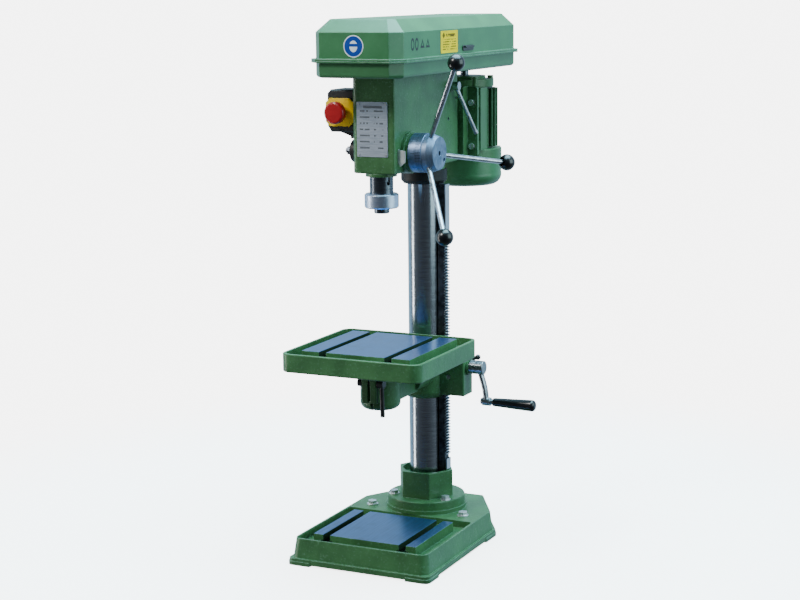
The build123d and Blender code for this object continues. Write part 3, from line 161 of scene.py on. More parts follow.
class NodeWriter:
    """Writes the nodes of one tree: every node of the scene comes from its node method."""

    def __init__(self, tree):
        self.tree = tree
        self.tree.nodes.clear()

    def node(self, kind, settings, inputs, output=0):
        """Adds a node: its settings first, then the values or links of its sockets."""
        made = self.tree.nodes.new(kind)
        for setting, value in settings.items():
            if setting == "stops":
                self.set_stops(made.color_ramp, value)
            else:
                setattr(made, setting, value)
        for socket, value in inputs.items():
            if isinstance(value, Value):
                self.tree.links.new(value.socket, made.inputs[socket])
            else:
                made.inputs[socket].default_value = value
        if made.outputs:
            return Value(self, made.outputs[output])
        return None

    @staticmethod
    def set_stops(ramp, stops):
        while len(ramp.elements) < len(stops):
            ramp.elements.new(1.0)
        for element, (position, colour) in zip(ramp.elements, stops):
            element.position = position
            element.color = colour


class Finish(NodeWriter):
    """A procedural material, written with Python expressions on Value objects."""

    def __init__(self, name, **constants):
        self.material = bpy.data.materials.new(name)
        self.material.use_nodes = True
        super().__init__(self.material.node_tree)
        sockets = {socket.replace("_", " "): value for socket, value in constants.items()}
        surface = self.node("ShaderNodeBsdfPrincipled", {}, sockets)
        self.shader = surface.socket.node
        self.node("ShaderNodeOutputMaterial", {}, {"Surface": surface})
        self.place = self.node("ShaderNodeTexCoord", {}, {}, "Object")

    def feed(self, **links):
        """Links what varies over the surface to the shader's sockets."""
        for socket, value in links.items():
            self.tree.links.new(value.socket, self.shader.inputs[socket.replace("_", " ")])

    def axes(self):
        """The three coordinates of the place on the part."""
        first = self.node("ShaderNodeSeparateXYZ", {}, {0: self.place})
        return [Value(self, out) for out in first.socket.node.outputs]

    def stretched(self, scale):
        """The place on the part, scaled by a different amount along each axis."""
        inputs = {0: self.place, 1: scale}
        return self.node("ShaderNodeVectorMath", {"operation": "MULTIPLY"}, inputs)

    def marks(self, scale, detail=3.0, roughness=0.6):
        """Fine scratches, drawn out along the axis with the smallest scale."""
        return self.noise(1.0, detail, roughness, self.stretched(scale))

    def dashes(self, across, row, columns):
        """One random number for each column of each row, for lines of wordless dashes."""
        seed = self.node("ShaderNodeCombineXYZ", {}, {0: (across * columns).floor(), 1: row})
        settings = {"noise_dimensions": "2D"}
        return self.node("ShaderNodeTexWhiteNoise", settings, {"Vector": seed}, "Value")

    def two_tone(self, pattern, low, high, dark, light):
        """A colour that goes from dark to light as a pattern goes from low to high."""
        return self.mix(pattern.smooth(low, high), rgba(dark), rgba(light))

    def noise(self, scale, detail=3.0, roughness=0.55, place=None):
        """A cloudy pattern, with its size set by scale and its fineness by detail."""
        inputs = {"Vector": place or self.place, "Scale": scale, "Detail": detail}
        inputs["Roughness"] = roughness
        return self.node("ShaderNodeTexNoise", {}, inputs)

    def mix(self, share, first, second):
        """A colour that goes from the first to the second as share goes from 0 to 1."""
        inputs = {0: share, 6: first, 7: second}
        return self.node("ShaderNodeMix", {"data_type": "RGBA"}, inputs, 2)

    def blend_values(self, share, first, second):
        return first + share * (second - first)

    def rounded(self, radius):
        """The surface's direction with its edges eased to a radius, in metres."""
        return self.node("ShaderNodeBevel", {"samples": 6}, {"Radius": radius})

    def edges(self, soft):
        """1 along the part's edges and 0 on its faces, from an eased direction."""
        straight = self.node("ShaderNodeNewGeometry", {}, {}, "Normal")
        settings = {"operation": "DOT_PRODUCT"}
        turned = self.node("ShaderNodeVectorMath", settings, {0: soft, 1: straight}, "Value")
        return turned.smooth(0.985, 0.86)

    def bump(self, height, strength, distance, normal=None):
        inputs = {"Strength": strength, "Distance": distance, "Height": height}
        if normal is not None:
            inputs["Normal"] = normal
        return self.node("ShaderNodeBump", {}, inputs)


def assign(names, finish):
    """Gives CAD nodes a finish through their material slots."""
    for name in names:
        for slot in NODES[name].material_slots:
            slot.material = finish.material


# ---------------------------------------------------------------- settings

class DrillPaintSettings(bpy.types.PropertyGroup):
    """Colours of the paint and of the moulded parts."""

    cast_colour: FloatVectorProperty(
        name="Casting green", description="Enamel on the cast iron parts",
        subtype="COLOR", size=3, min=0.0, max=1.0, default=srgb(62, 108, 66))
    sheet_colour: FloatVectorProperty(
        name="Sheet green", description="Enamel on the guard and the other sheet parts",
        subtype="COLOR", size=3, min=0.0, max=1.0, default=srgb(62, 116, 76))
    # Pale green of thin rubbed paint on the edges, also used as painted highlight along the edges and
    # for the painted glints.
    wear_and_highlight_colour: FloatVectorProperty(
        name="Thin paint", description="Paler green where the paint is thin on an edge",
        subtype="COLOR", size=3, min=0.0, max=1.0, default=srgb(150, 196, 176))
    # How much paler the edges get: partly thin rubbed paint, partly painted highlight.
    wear_and_highlight: FloatProperty(
        name="Edge wear", description="How much paler the painted edges are",
        subtype="FACTOR", min=0.0, max=1.0, default=0.55)
    stop_red: FloatVectorProperty(
        name="Stop button red", description="Moulded mushroom button",
        subtype="COLOR", size=3, min=0.0, max=1.0, default=srgb(176, 14, 22))
    plate_yellow: FloatVectorProperty(
        name="Switch plate yellow", description="Octagonal plate and the guard's sticker",
        subtype="COLOR", size=3, min=0.0, max=1.0, default=srgb(255, 214, 2))
    sign_blue: FloatVectorProperty(
        name="Sign blue", description="Round sign at the front of the guard",
        subtype="COLOR", size=3, min=0.0, max=1.0, default=srgb(6, 66, 160))


class DrillDetailSettings(bpy.types.PropertyGroup):
    """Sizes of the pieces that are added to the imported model."""

    sign_diameter: FloatProperty(
        name="Sign diameter", description="Round sign at the front of the guard",
        unit="LENGTH", min=0.01, max=0.08, default=0.043)
    sticker_thickness: FloatProperty(
        name="Sticker thickness", description="Foil of the signs on the guard",
        unit="LENGTH", min=0.0001, max=0.002, default=0.0004)
    latch_length: FloatProperty(
        name="Latch length", description="Spring latch on the right side of the guard",
        unit="LENGTH", min=0.02, max=0.1, default=0.055)
    dial_marks: IntProperty(
        name="Dial marks", description="Graduations round the depth dial",
        min=10, max=200, default=80)


class DrillStageSettings(bpy.types.PropertyGroup):
    """The floor, the lights and the backdrop."""

    backdrop_colour: FloatVectorProperty(
        name="Backdrop", description="Plain pale floor and wall",
        subtype="COLOR", size=3, min=0.0, max=1.0, default=(0.86, 0.865, 0.87))
    surround: FloatProperty(
        name="Surround light", description="Strength of the light from the studio all round",
        min=0.0, max=4.0, default=1.0)
    backdrop_light: FloatProperty(
        name="Backdrop light", description="How bright the plain backdrop looks",
        min=0.0, max=20.0, default=6.0)
    side_power: FloatProperty(
        name="Side light", description="Power of the broad light at the right",
        unit="POWER", min=0.0, max=2000.0, default=76.0)
    strip_power: FloatProperty(
        name="Strip light", description="Power of the narrow light at the left",
        unit="POWER", min=0.0, max=2000.0, default=48.0)
    front_power: FloatProperty(
        name="Front light", description="Power of the light in front of the machine",
        unit="POWER", min=0.0, max=2000.0, default=80.0)
    top_power: FloatProperty(
        name="Top light", description="Power of the overhead light",
        unit="POWER", min=0.0, max=2000.0, default=310.0)


def paint():
    return bpy.context.scene.drill_paint


def detail():
    return bpy.context.scene.drill_detail


def stage():
    return bpy.context.scene.drill_stage


# ---------------------------------------------------------------- finishes

def enamel(name, colour, texture, gloss, bevel):
    """Green enamel: cloudy colour, cast texture below it, pale specks that are painted glints, and
    edges paled partly by thin rubbed paint and partly as painted highlight.
    """
    made = Finish(name, Specular_IOR_Level=0.32, Coat_Weight=0.16, Coat_Roughness=0.2)
    soft = made.rounded(bevel)
    edge = made.edges(soft)
    cloud = made.noise(14.0, 4.0)
    # Painted glints: pale specks in the colour stand in for light caught by the orange peel.
    glint_flecks = made.noise(240.0, 3.0).smooth(0.55, 0.8) * texture * 0.5
    swing = 0.09 + 0.22 * texture
    base = made.two_tone(cloud, 0.3, 0.7, dimmed(colour, 1.0 - swing), dimmed(colour, 1.0 + swing))
    base = made.mix(glint_flecks, base, rgba(paint().wear_and_highlight_colour))
    # Edges made paler, partly as thin rubbed paint and partly as painted highlight along them.
    worn_and_lit_edge = edge * made.noise(60.0, 4.0).smooth(0.25, 0.6) * paint().wear_and_highlight
    grime = made.noise(34.0, 5.0).smooth(0.58, 0.78) * swing
    base = made.mix(grime, base, rgba(dimmed(colour, 0.45)))
    base = made.mix(worn_and_lit_edge, base, rgba(paint().wear_and_highlight_colour))
    relief = made.noise(150.0, 5.0, 0.6) + made.noise(30.0, 2.0) * 1.2
    normal = made.bump(relief, texture, 0.0011, soft)
    return made, base, normal, gloss + cloud * 0.16 - worn_and_lit_edge * 0.1


def painted(name, colour, texture, gloss, bevel=0.0012):
    """Plain enamel all over."""
    made, base, normal, rough = enamel(name, colour, texture, gloss, bevel)
    made.feed(Base_Color=base, Roughness=rough, Normal=normal)
    return made


def painted_with_block(name, colour, block):
    """Cast enamel round a machined block: bare ground iron on top, painted shade in its T-slot
    grooves.
    """
    half_width, front, rear, level = block
    made, base, normal, rough = enamel(name, colour, texture=0.5, gloss=0.32, bevel=0.0015)
    x, y, z = made.axes()
    within = (abs(x) < half_width) * y.between(front, rear)
    ground = within * (z > level)
    # Painted shade: the T-slot grooves are darkened to near black, where shade falls.
    slot_shade = within * (z < level) * z.between(level - SLOT_DEPTH, level)
    base = made.mix(slot_shade * 0.86, base, rgba(srgb(12, 20, 16)))
    marks = made.marks((900.0, 14.0, 60.0), 4.0, 0.65)
    stain = made.noise(22.0, 4.0)
    iron = made.two_tone(marks, 0.3, 0.75, srgb(40, 84, 140), srgb(76, 124, 184))
    iron = made.mix(stain.smooth(0.5, 0.8) * 0.45, iron, rgba(srgb(52, 70, 96)))
    groove = made.rounded(0.0009)
    iron = made.mix(made.edges(groove) * 0.6, iron, rgba(srgb(150, 184, 214)))
    scratched = made.bump(marks, 0.05, 0.0002, groove)
    directions = {0: ground, 4: normal, 5: scratched}
    picked = made.node("ShaderNodeMix", {"data_type": "VECTOR"}, directions, 1)
    made.feed(Base_Color=made.mix(ground, base, iron),
              Roughness=made.blend_values(ground, rough, 0.22 + marks * 0.14 + stain * 0.06),
              Normal=picked, Metallic=ground * 0.85)
    return made


def metal(name, dark, light, rough, marks_scale, texture=0.06, bevel=0.0008, spread=0.12,
          metallic=1.0):
    """Bare metal with tool marks of the given scale, cloudy shine and bright edges."""
    made = Finish(name, Metallic=metallic)
    soft = made.rounded(bevel)
    marks = made.marks(marks_scale, 4.0)
    cloud = made.noise(24.0, 4.0)
    base = made.two_tone(marks, 0.25, 0.75, dark, light)
    base = made.mix(cloud.smooth(0.5, 0.85) * 0.3, base, rgba(dimmed(dark, 0.6)))
    base = made.mix(made.edges(soft) * 0.5, base, rgba(dimmed(light, 1.25)))
    made.feed(Base_Color=base, Roughness=rough + marks * spread * 0.5 + cloud * spread,
              Normal=made.bump(marks, texture, 0.0003, soft))
    return made


def plastic(name, colour, rough, texture, coat=0.0, bevel=0.0008, grain=420.0):
    """Moulded plastic: a faint grain, slightly rubbed and paler on its edges."""
    made = Finish(name, Coat_Weight=coat, Coat_Roughness=0.08)
    soft = made.rounded(bevel)
    cloud = made.noise(30.0, 4.0)
    edge = made.edges(soft) * made.noise(90.0, 3.0).smooth(0.3, 0.7)
    pale = [min(1.0, channel * 1.3 + 0.03) for channel in colour]
    base = made.two_tone(cloud, 0.3, 0.7, dimmed(colour, 0.82), colour)
    base = made.mix(edge * 0.5, base, rgba(pale))
    made.feed(Base_Color=base, Roughness=rough + cloud * 0.12,
              Normal=made.bump(made.noise(grain, 3.0), texture, 0.0004, soft))
    return made


# ---------------------------------------------------------------- small meshes

def mesh_object(name, shape):
    """Turns finished bmesh work into an object in the scene."""
    data = bpy.data.meshes.new(name)
    bmesh.ops.recalc_face_normals(shape, faces=shape.faces)
    shape.to_mesh(data)
    shape.free()
    made = bpy.data.objects.new(name, data)
    bpy.context.scene.collection.objects.link(made)
    return made


def pushed_out(name, shape, depth, place):
    """Pushes the faces drawn in a plane out by depth, then places them as an object."""
    pushed = bmesh.ops.extrude_face_region(shape, geom=shape.faces[:])
    moved = [item for item in pushed["geom"] if isinstance(item, bmesh.types.BMVert)]
    bmesh.ops.translate(shape, verts=moved, vec=(0.0, 0.0, depth))
    bmesh.ops.transform(shape, matrix=place, verts=shape.verts)
    return mesh_object(name, shape)


def slab(name, outline, depth, place):
    """A flat plate with the given outline."""
    shape = bmesh.new()
    shape.faces.new([shape.verts.new((across, rise, 0.0)) for across, rise in outline])
    return pushed_out(name, shape, depth, place)


def flat_ring(name, outline, hole, depth, place):
    """A flat plate between an outline and the same outline drawn smaller by the share hole."""
    shape = bmesh.new()
    outer = [shape.verts.new((across, rise, 0.0)) for across, rise in outline]
    inner = [shape.verts.new((across * hole, rise * hole, 0.0)) for across, rise in outline]
    count = len(outline)
    for step in range(count):
        after = (step + 1) % count
        shape.faces.new((outer[step], outer[after], inner[after], inner[step]))
    return pushed_out(name, shape, depth, place)


def bevelled(made, width, segments=2):
    """Eases the piece's own edges, so that they catch the light."""
    modifier = made.modifiers.new("eased edges", "BEVEL")
    modifier.width = width
    modifier.segments = segments
    modifier.limit_method = "ANGLE"
    return made


def rounded_outline(width, height, corner, steps=5):
    """A rectangle about the middle, with rounded corners."""
    points = []
    for turn, (side, level) in enumerate(((1, 1), (-1, 1), (-1, -1), (1, -1))):
        across = side * (width / 2 - corner)
        rise = level * (height / 2 - corner)
        for step in range(steps + 1):
            angle = math.radians(90.0 * turn + 90.0 * step / steps)
            points.append((across + corner * math.cos(angle), rise + corner * math.sin(angle)))
    return points


def oval_outline(half_width, half_height, steps):
    """An oval about the middle."""
    angles = [math.tau * step / steps for step in range(steps)]
    return [(half_width * math.cos(angle), half_height * math.sin(angle)) for angle in angles]


def facing_front(x, y, z):
    """A plane that is drawn with x to the right and z up, and faces the front."""
    columns = ((1.0, 0.0, 0.0), (0.0, 0.0, 1.0), (0.0, -1.0, 0.0))
    return Matrix.Translation((x, y, z)) @ Matrix(columns).transposed().to_4x4()


def facing_right(x, y, z):
    """A plane that is drawn with y to the right and z up, and faces the right."""
    columns = ((0.0, 1.0, 0.0), (0.0, 0.0, 1.0), (1.0, 0.0, 0.0))
    return Matrix.Translation((x, y, z)) @ Matrix(columns).transposed().to_4x4()


def dress(piece, body, finish):
    """Rides a new piece on its body, and gives it its finish."""
    piece.data.materials.append(finish.material)
    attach(piece, body)
    return piece


# ---------------------------------------------------------------- operators

class DRILL_OT_castings(bpy.types.Operator):
    """Paints the cast iron parts and leaves their machined blocks bare"""

    bl_idname = "drill.castings"
    bl_label = "Castings"

    def execute(self, context):
        colour = paint().cast_colour
        rough_cast = painted("cast_enamel", colour, texture=0.5, gloss=0.32)
        assign(["head_casting", "column_flange", "table_bracket", "table_arm", "motor_plate"],
               rough_cast)
        assign(["motor_housing"], self.finned(colour))
        motor = painted("motor_enamel", colour, texture=0.16, gloss=0.32, bevel=0.0007)
        assign(["motor_top_shield", "motor_lower_shield"], motor)
        assign(["table"], painted_with_block("table_enamel", colour, TABLE_BLOCK))
        assign(["base_casting"], painted_with_block("base_enamel", colour, BASE_BLOCK))
        return {"FINISHED"}

    def finned(self, colour):
        """Motor enamel with painted shade between the fins, darkening toward their roots."""
        made, base, normal, rough = enamel("motor_fin_enamel", colour, texture=0.16, gloss=0.32,
                                           bevel=0.0007)
        low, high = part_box("motor_rotor")
        middle = (low.y + high.y) / 2
        dark_radius, unshaded_radius = 0.0640, 0.0715
        x, y, z = made.axes()
        reach = (x * x + (y - middle) * (y - middle)).math("SQRT")
        # Painted shade: the enamel darkens to near black toward the fin roots, where shade falls
        # between the fins.
        fin_shade = reach.smooth(unshaded_radius, dark_radius)
        base = made.mix(fin_shade * 0.85, base, rgba(srgb(14, 24, 16)))
        made.feed(Base_Color=base, Roughness=rough, Normal=normal)
        return made


class DRILL_OT_sheet_parts(bpy.types.Operator):
    """Paints the belt guard, its pan, the fan cover and the terminal box"""

    bl_idname = "drill.sheet_parts"
    bl_label = "Sheet parts"

    def execute(self, context):
        sheet = painted("sheet_enamel", paint().sheet_colour, texture=0.1, gloss=0.26,
                        bevel=0.0022)
        assign(["belt_cover", "pulley_pan", "motor_fan_cover", "terminal_box"], sheet)
        return {"FINISHED"}


class DRILL_OT_column_and_rack(bpy.types.Operator):
    """Polishes the column and darkens the rack, bright at its tooth tips"""

    bl_idname = "drill.column_and_rack"
    bl_label = "Column and rack"

    def execute(self, context):
        column = metal("column_steel", srgb(150, 158, 168), srgb(196, 204, 212), 0.16,
                       (30.0, 30.0, 1400.0), texture=0.03, bevel=0.0006, spread=0.06)
        assign(["column_tube"], column)
        assign(["rack"], self.rack_finish())
        assign(["rack_ring"], plastic("blackened_ring", srgb(11, 12, 13), 0.5, 0.1))
        return {"FINISHED"}

    def rack_finish(self):
        """Oily dark steel that is rubbed bright toward the tips of the teeth."""
        made = Finish("rack_steel", Metallic=1.0)
        dark_radius, rubbed_radius = 0.0522, 0.0536
        soft = made.rounded(0.0006)
        x, y, z = made.axes()
        rubbed = (x * x + y * y).smooth(dark_radius ** 2, rubbed_radius ** 2)
        oil = made.noise(60.0, 4.0)
        base = made.two_tone(oil, 0.3, 0.7, srgb(52, 54, 58), srgb(92, 96, 102))
        bright = rubbed.larger(made.edges(soft) * 0.5)
        base = made.mix(bright, base, rgba(srgb(206, 212, 220)))
        made.feed(Base_Color=base, Roughness=0.42 - rubbed * 0.18 + oil * 0.1,
                  Normal=made.bump(oil, 0.12, 0.0004, soft))
        return made


class DRILL_OT_spindle_parts(bpy.types.Operator):
    """Finishes the quill, its collar, the spindle, the bearings and the small steel parts"""

    bl_idname = "drill.spindle_parts"
    bl_label = "Spindle parts"

    def execute(self, context):
        dark = metal("oiled_steel", srgb(66, 70, 78), srgb(120, 128, 138), 0.2,
                     (40.0, 40.0, 1600.0), texture=0.05)
        assign(["quill", "spindle", "pinion_shaft", "head_set_screws", "tilt_bolt", "motor_rotor",
                "return_spring"], dark)
        collar = metal("turned_collar", srgb(174, 196, 230), srgb(220, 234, 252), 0.27,
                       (60.0, 60.0, 2200.0), texture=0.08)
        assign(["quill_collar", "spindle_bearings", "pulley_bearing", "idler_post"], collar)
        return {"FINISHED"}


class DRILL_OT_feed_parts(bpy.types.Operator):
    """Finishes the feed hub, the graduated dial, the levers and the knobs"""

    bl_idname = "drill.feed_parts"
    bl_label = "Feed levers"

    def execute(self, context):
        turned = metal("turned_hub", srgb(104, 122, 150), srgb(152, 172, 200), 0.42,
                       (2600.0, 50.0, 50.0), texture=0.1)
        assign(["feed_hub"], turned)
        assign(["depth_dial"], self.dial())
        chrome = metal("chromed_rod", srgb(160, 168, 178), srgb(206, 212, 220), 0.24,
                       (90.0, 90.0, 90.0), texture=0.015, bevel=0.0005, spread=0.05)
        assign(["lever_rods", "slide_rods", "tension_lever"], chrome)
        black = plastic("phenolic_black", srgb(9, 10, 14), 0.24, 0.02, coat=0.3)
        assign(["lever_knobs", "crank_grip"], black)
        return {"FINISHED"}

    def dial(self):
        """Turned aluminium with engraved marks round its rim; every tenth one is longer."""
        made = Finish("graduated_dial", Metallic=1.0)
        soft = made.rounded(0.0006)
        low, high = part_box("depth_dial")
        centre = (low + high) / 2
        width = high.x - low.x
        edge = high.x - 0.0006
        rim_radius = (high.z - low.z) / 2 - 0.0012
        marks = detail().dial_marks
        x, y, z = made.axes()
        across, rise = y - centre.y, z - centre.z
        turn = across.math("ARCTAN2", rise) / math.tau + 1.0
        fine = abs((turn * marks).fraction() - 0.5) < 0.13
        tenth = abs((turn * (marks / 10.0) + 0.45).fraction() - 0.5) < 0.05
        short = fine * x.between(low.x + width * 0.55, edge)
        long = fine * tenth * x.between(low.x + width * 0.25, edge)
        rim = (across * across + rise * rise) > rim_radius ** 2
        ink = short.larger(long) * rim
        lathe = made.marks((2400.0, 60.0, 60.0), 4.0)
        base = made.two_tone(lathe, 0.3, 0.7, srgb(96, 116, 148), srgb(140, 162, 194))
        base = made.mix(ink * 0.9, base, rgba(srgb(20, 22, 26)))
        made.feed(Base_Color=base, Roughness=0.4 + lathe * 0.1 + ink * 0.3,
                  Normal=made.bump(lathe * 0.3 - ink * 0.8, 0.12, 0.0002, soft))
        return made


class DRILL_OT_lifting_parts(bpy.types.Operator):
    """Finishes the crank, its worm and gear, the black clamp levers and the motor's fan"""

    bl_idname = "drill.lifting_parts"
    bl_label = "Lifting parts"

    def execute(self, context):
        steel = metal("forged_crank", srgb(120, 126, 134), srgb(182, 188, 194), 0.22,
                      (220.0, 220.0, 220.0), texture=0.08, bevel=0.0012, spread=0.16)
        assign(["crank_arm", "worm_shaft", "lift_gear"], steel)
        black = plastic("blackened_lever", srgb(24, 25, 28), 0.34, 0.08, coat=0.2)
        assign(["column_clamp_lever", "arm_clamp_lever", "motor_fan"], black)
        return {"FINISHED"}


class DRILL_OT_fasteners(bpy.types.Operator):
    """Plates the bolts, pins, hinge leaves and rivets with zinc, beside a pale dial pointer"""

    bl_idname = "drill.fasteners"
    bl_label = "Fasteners"

    def execute(self, context):
        zinc = metal("plated_zinc", srgb(186, 192, 196), srgb(232, 236, 240), 0.3,
                     (260.0, 260.0, 260.0), texture=0.08, bevel=0.0006, spread=0.16)
        assign(["base_bolts", "flange_bolts", "motor_bolts", "plate_rivets", "cover_hinge_pins",
                "cover_hinge_leaves"], zinc)
        pale = metal("pale_aluminium", srgb(196, 204, 208), srgb(224, 230, 232), 0.5,
                     (120.0, 120.0, 120.0), texture=0.04, metallic=0.25)
        assign(["dial_pointer"], pale)
        return {"FINISHED"}


class DRILL_OT_drive_parts(bpy.types.Operator):
    """Finishes the pulleys, the belts and the winding inside the guard and the motor"""

    bl_idname = "drill.drive_parts"
    bl_label = "Drive parts"

    def execute(self, context):
        cast = metal("cast_aluminium", srgb(140, 142, 144), srgb(190, 192, 194), 0.34,
                     (300.0, 300.0, 900.0), texture=0.14)
        assign(["motor_pulley", "idler_pulley", "spindle_pulley"], cast)
        rubber = plastic("belt_rubber", srgb(26, 26, 27), 0.62, 0.25, bevel=0.0006, grain=700.0)
        assign(["front_belt", "rear_belt"], rubber)
        copper = metal("copper_winding", srgb(140, 74, 44), srgb(196, 112, 66), 0.34,
                       (60.0, 60.0, 1500.0), texture=0.3)
        assign(["motor_stator"], copper)
        return {"FINISHED"}


class DRILL_OT_switch(bpy.types.Operator):
    """Finishes the switch box, its yellow plate and the red stop button"""

    bl_idname = "drill.switch"
    bl_label = "Switch"

    def execute(self, context):
        black = plastic("switch_black", srgb(26, 28, 31), 0.42, 0.2, bevel=0.0012, grain=900.0)
        assign(["switch_box", "switch_cover", "spring_case"], black)
        yellow = plastic("switch_yellow", paint().plate_yellow, 0.34, 0.05, coat=0.1)
        assign(["switch_plate"], yellow)
        red = plastic("stop_red", paint().stop_red, 0.3, 0.06, coat=0.25, bevel=0.0015)
        assign(["stop_button"], red)
        return {"FINISHED"}


class DRILL_OT_rating_plate(bpy.types.Operator):
    """Finishes the rating plate with a ruled, wordless table"""

    bl_idname = "drill.rating_plate"
    bl_label = "Rating plate"

    def execute(self, context):
        made = Finish("rating_plate", Metallic=0.3, Coat_Weight=0.2)
        low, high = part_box("rating_plate")
        x, y, z = made.axes()
        across = (x - low.x) / (high.x - low.x)
        rise = (z - low.z) / (high.z - low.z)
        rows, columns = 9.0, 19.0
        line = abs((rise * rows).fraction() - 0.5) < 0.13
        dash = made.dashes(across, (rise * rows).floor(), columns)
        left = across.between(0.10, 0.42) * (dash > 0.22)
        right = across.between(0.56, 0.86) * (dash > 0.42)
        body = line * left.larger(right) * rise.between(0.12, 0.86)
        head = rise.between(0.885, 0.93) * across.between(0.22, 0.82) * (dash > 0.12)
        ink = body.larger(head)
        brush = made.marks((40.0, 40.0, 2200.0))
        base = made.two_tone(brush, 0.3, 0.7, srgb(150, 164, 182), srgb(192, 204, 220))
        base = made.mix(ink * 0.8, base, rgba(srgb(70, 76, 82)))
        made.feed(Base_Color=base, Roughness=0.34 + brush * 0.12 + ink * 0.1,
                  Normal=made.bump(brush, 0.04, 0.0002, made.rounded(0.0003)))
        assign(["rating_plate"], made)
        return {"FINISHED"}


class DRILL_OT_guard_sign(bpy.types.Operator):
    """Adds the round blue sign at the front of the guard"""

    bl_idname = "drill.guard_sign"
    bl_label = "Guard sign"

    def execute(self, context):
        low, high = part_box("belt_cover")
        radius = detail().sign_diameter / 2
        foil = detail().sticker_thickness
        place = facing_front(0.0, low.y + GUARD_LIP + foil * FOIL_BED, SIGN_HEIGHT)
        sign = slab("guard_sign", oval_outline(radius, radius, 64), foil, place)
        dress(bevelled(sign, foil * 0.4), "cover", self.sign_finish(radius))
        return {"FINISHED"}

    def sign_finish(self, radius):
        """Blue field with a white rim and a plain white head that wears blue goggles."""
        made = Finish("sign_foil", Coat_Weight=0.5, Coat_Roughness=0.1)
        head_width, head_height = 0.40, 0.52
        x, y, z = made.axes()
        rise = z - SIGN_HEIGHT
        reach = (x * x + rise * rise).math("SQRT") / radius
        rim = reach > 0.9
        oval = (x * x) / head_width ** 2 + (rise * rise) / head_height ** 2
        head = oval.math("SQRT") < radius
        goggles = (abs(x) < radius * 0.44) * (abs(rise - radius * 0.1) < radius * 0.13)
        figure = rim.larger(head * (1.0 - goggles))
        cloud = made.noise(90.0, 3.0)
        blue = paint().sign_blue
        base = made.two_tone(cloud, 0.3, 0.7, dimmed(blue, 0.85), blue)
        base = made.mix(figure, base, rgba(srgb(226, 234, 240)))
        made.feed(Base_Color=base, Roughness=0.28 + cloud * 0.1,
                  Normal=made.bump(cloud, 0.03, 0.0002))
        return made


class DRILL_OT_guard_labels(bpy.types.Operator):
    """Adds the plain yellow sticker and the small dark marks on the guard's right side"""

    bl_idname = "drill.guard_labels"
    bl_label = "Guard labels"

    def execute(self, context):
        foil = detail().sticker_thickness
        place = facing_right(GUARD_SIDE - foil * FOIL_BED, *STICKER_MIDDLE)
        label = slab("guard_sticker", rounded_outline(*STICKER_SIZE, 0.003), foil, place)
        dress(bevelled(label, foil * 0.4), "cover", self.sticker())
        ink = plastic("mark_black", srgb(22, 26, 30), 0.4, 0.02)
        triangle = [(-0.0095, -0.008), (0.0095, -0.008), (0.0, 0.009)]
        oval = oval_outline(0.0075, 0.0125, 24)
        self.row("guard_mark", triangle, 0.45, TRIANGLE_PLACES, ink)
        self.row("guard_ring", oval, 0.62, RING_PLACES, ink)
        return {"FINISHED"}

    def row(self, name, outline, hole, places, finish):
        """Small marks of one shape, side by side."""
        foil = detail().sticker_thickness * 0.5
        for index, along in enumerate(places):
            place = facing_right(GUARD_SIDE - foil * FOIL_BED, along, MARK_HEIGHT)
            mark = flat_ring(f"{name}_{index + 1}", outline, hole, foil, place)
            dress(mark, "cover", finish)

    def sticker(self):
        """Yellow foil with a dark heading bar and short dashes in rows."""
        made = Finish("sticker_foil", Specular_IOR_Level=0.05)
        x, y, z = made.axes()
        across = (y - STICKER_CORNER[0]) / STICKER_SIZE[0]
        rise = (z - STICKER_CORNER[1]) / STICKER_SIZE[1]
        rows, columns = 9.0, 24.0
        dash = made.dashes(across, (rise * rows).floor(), columns)
        line = abs((rise * rows).fraction() - 0.5) < 0.2
        body = line * (dash > 0.3) * across.between(0.12, 0.9) * rise.between(0.1, 0.62)
        head = across.between(0.30, 0.86) * rise.between(0.72, 0.86) * (dash > 0.15)
        sign = (abs(across - 0.17) + abs(rise - 0.79) * 0.62) < 0.085
        ink = body.larger(head).larger(sign)
        cloud = made.noise(70.0, 3.0)
        yellow = paint().plate_yellow
        base = made.two_tone(cloud, 0.3, 0.7, dimmed(yellow, 0.88), yellow)
        base = made.mix(ink * 0.85, base, rgba(srgb(48, 44, 20)))
        made.feed(Base_Color=base, Roughness=0.3 + cloud * 0.1,
                  Normal=made.bump(cloud, 0.03, 0.0002))
        return made


class DRILL_OT_guard_latch(bpy.types.Operator):
    """Adds the dark spring latch on the right side of the guard"""

    bl_idname = "drill.guard_latch"
    bl_label = "Guard latch"

    def execute(self, context):
        length = detail().latch_length
        middle = 0.0135
        black = plastic("latch_black", srgb(20, 22, 24), 0.3, 0.05, coat=0.3)
        outline = rounded_outline(length, 0.0115, 0.004)
        plate = slab("guard_latch", outline, 0.0022, facing_right(0.0952, middle, 1.037))
        dress(bevelled(plate, 0.0007, 3), "cover", black)
        lip = rounded_outline(length * 0.8, 0.004, 0.0018)
        pull = slab("guard_latch_pull", lip, 0.005, facing_right(0.0970, middle, 1.0395))
        dress(bevelled(pull, 0.0008, 3), "cover", black)
        return {"FINISHED"}


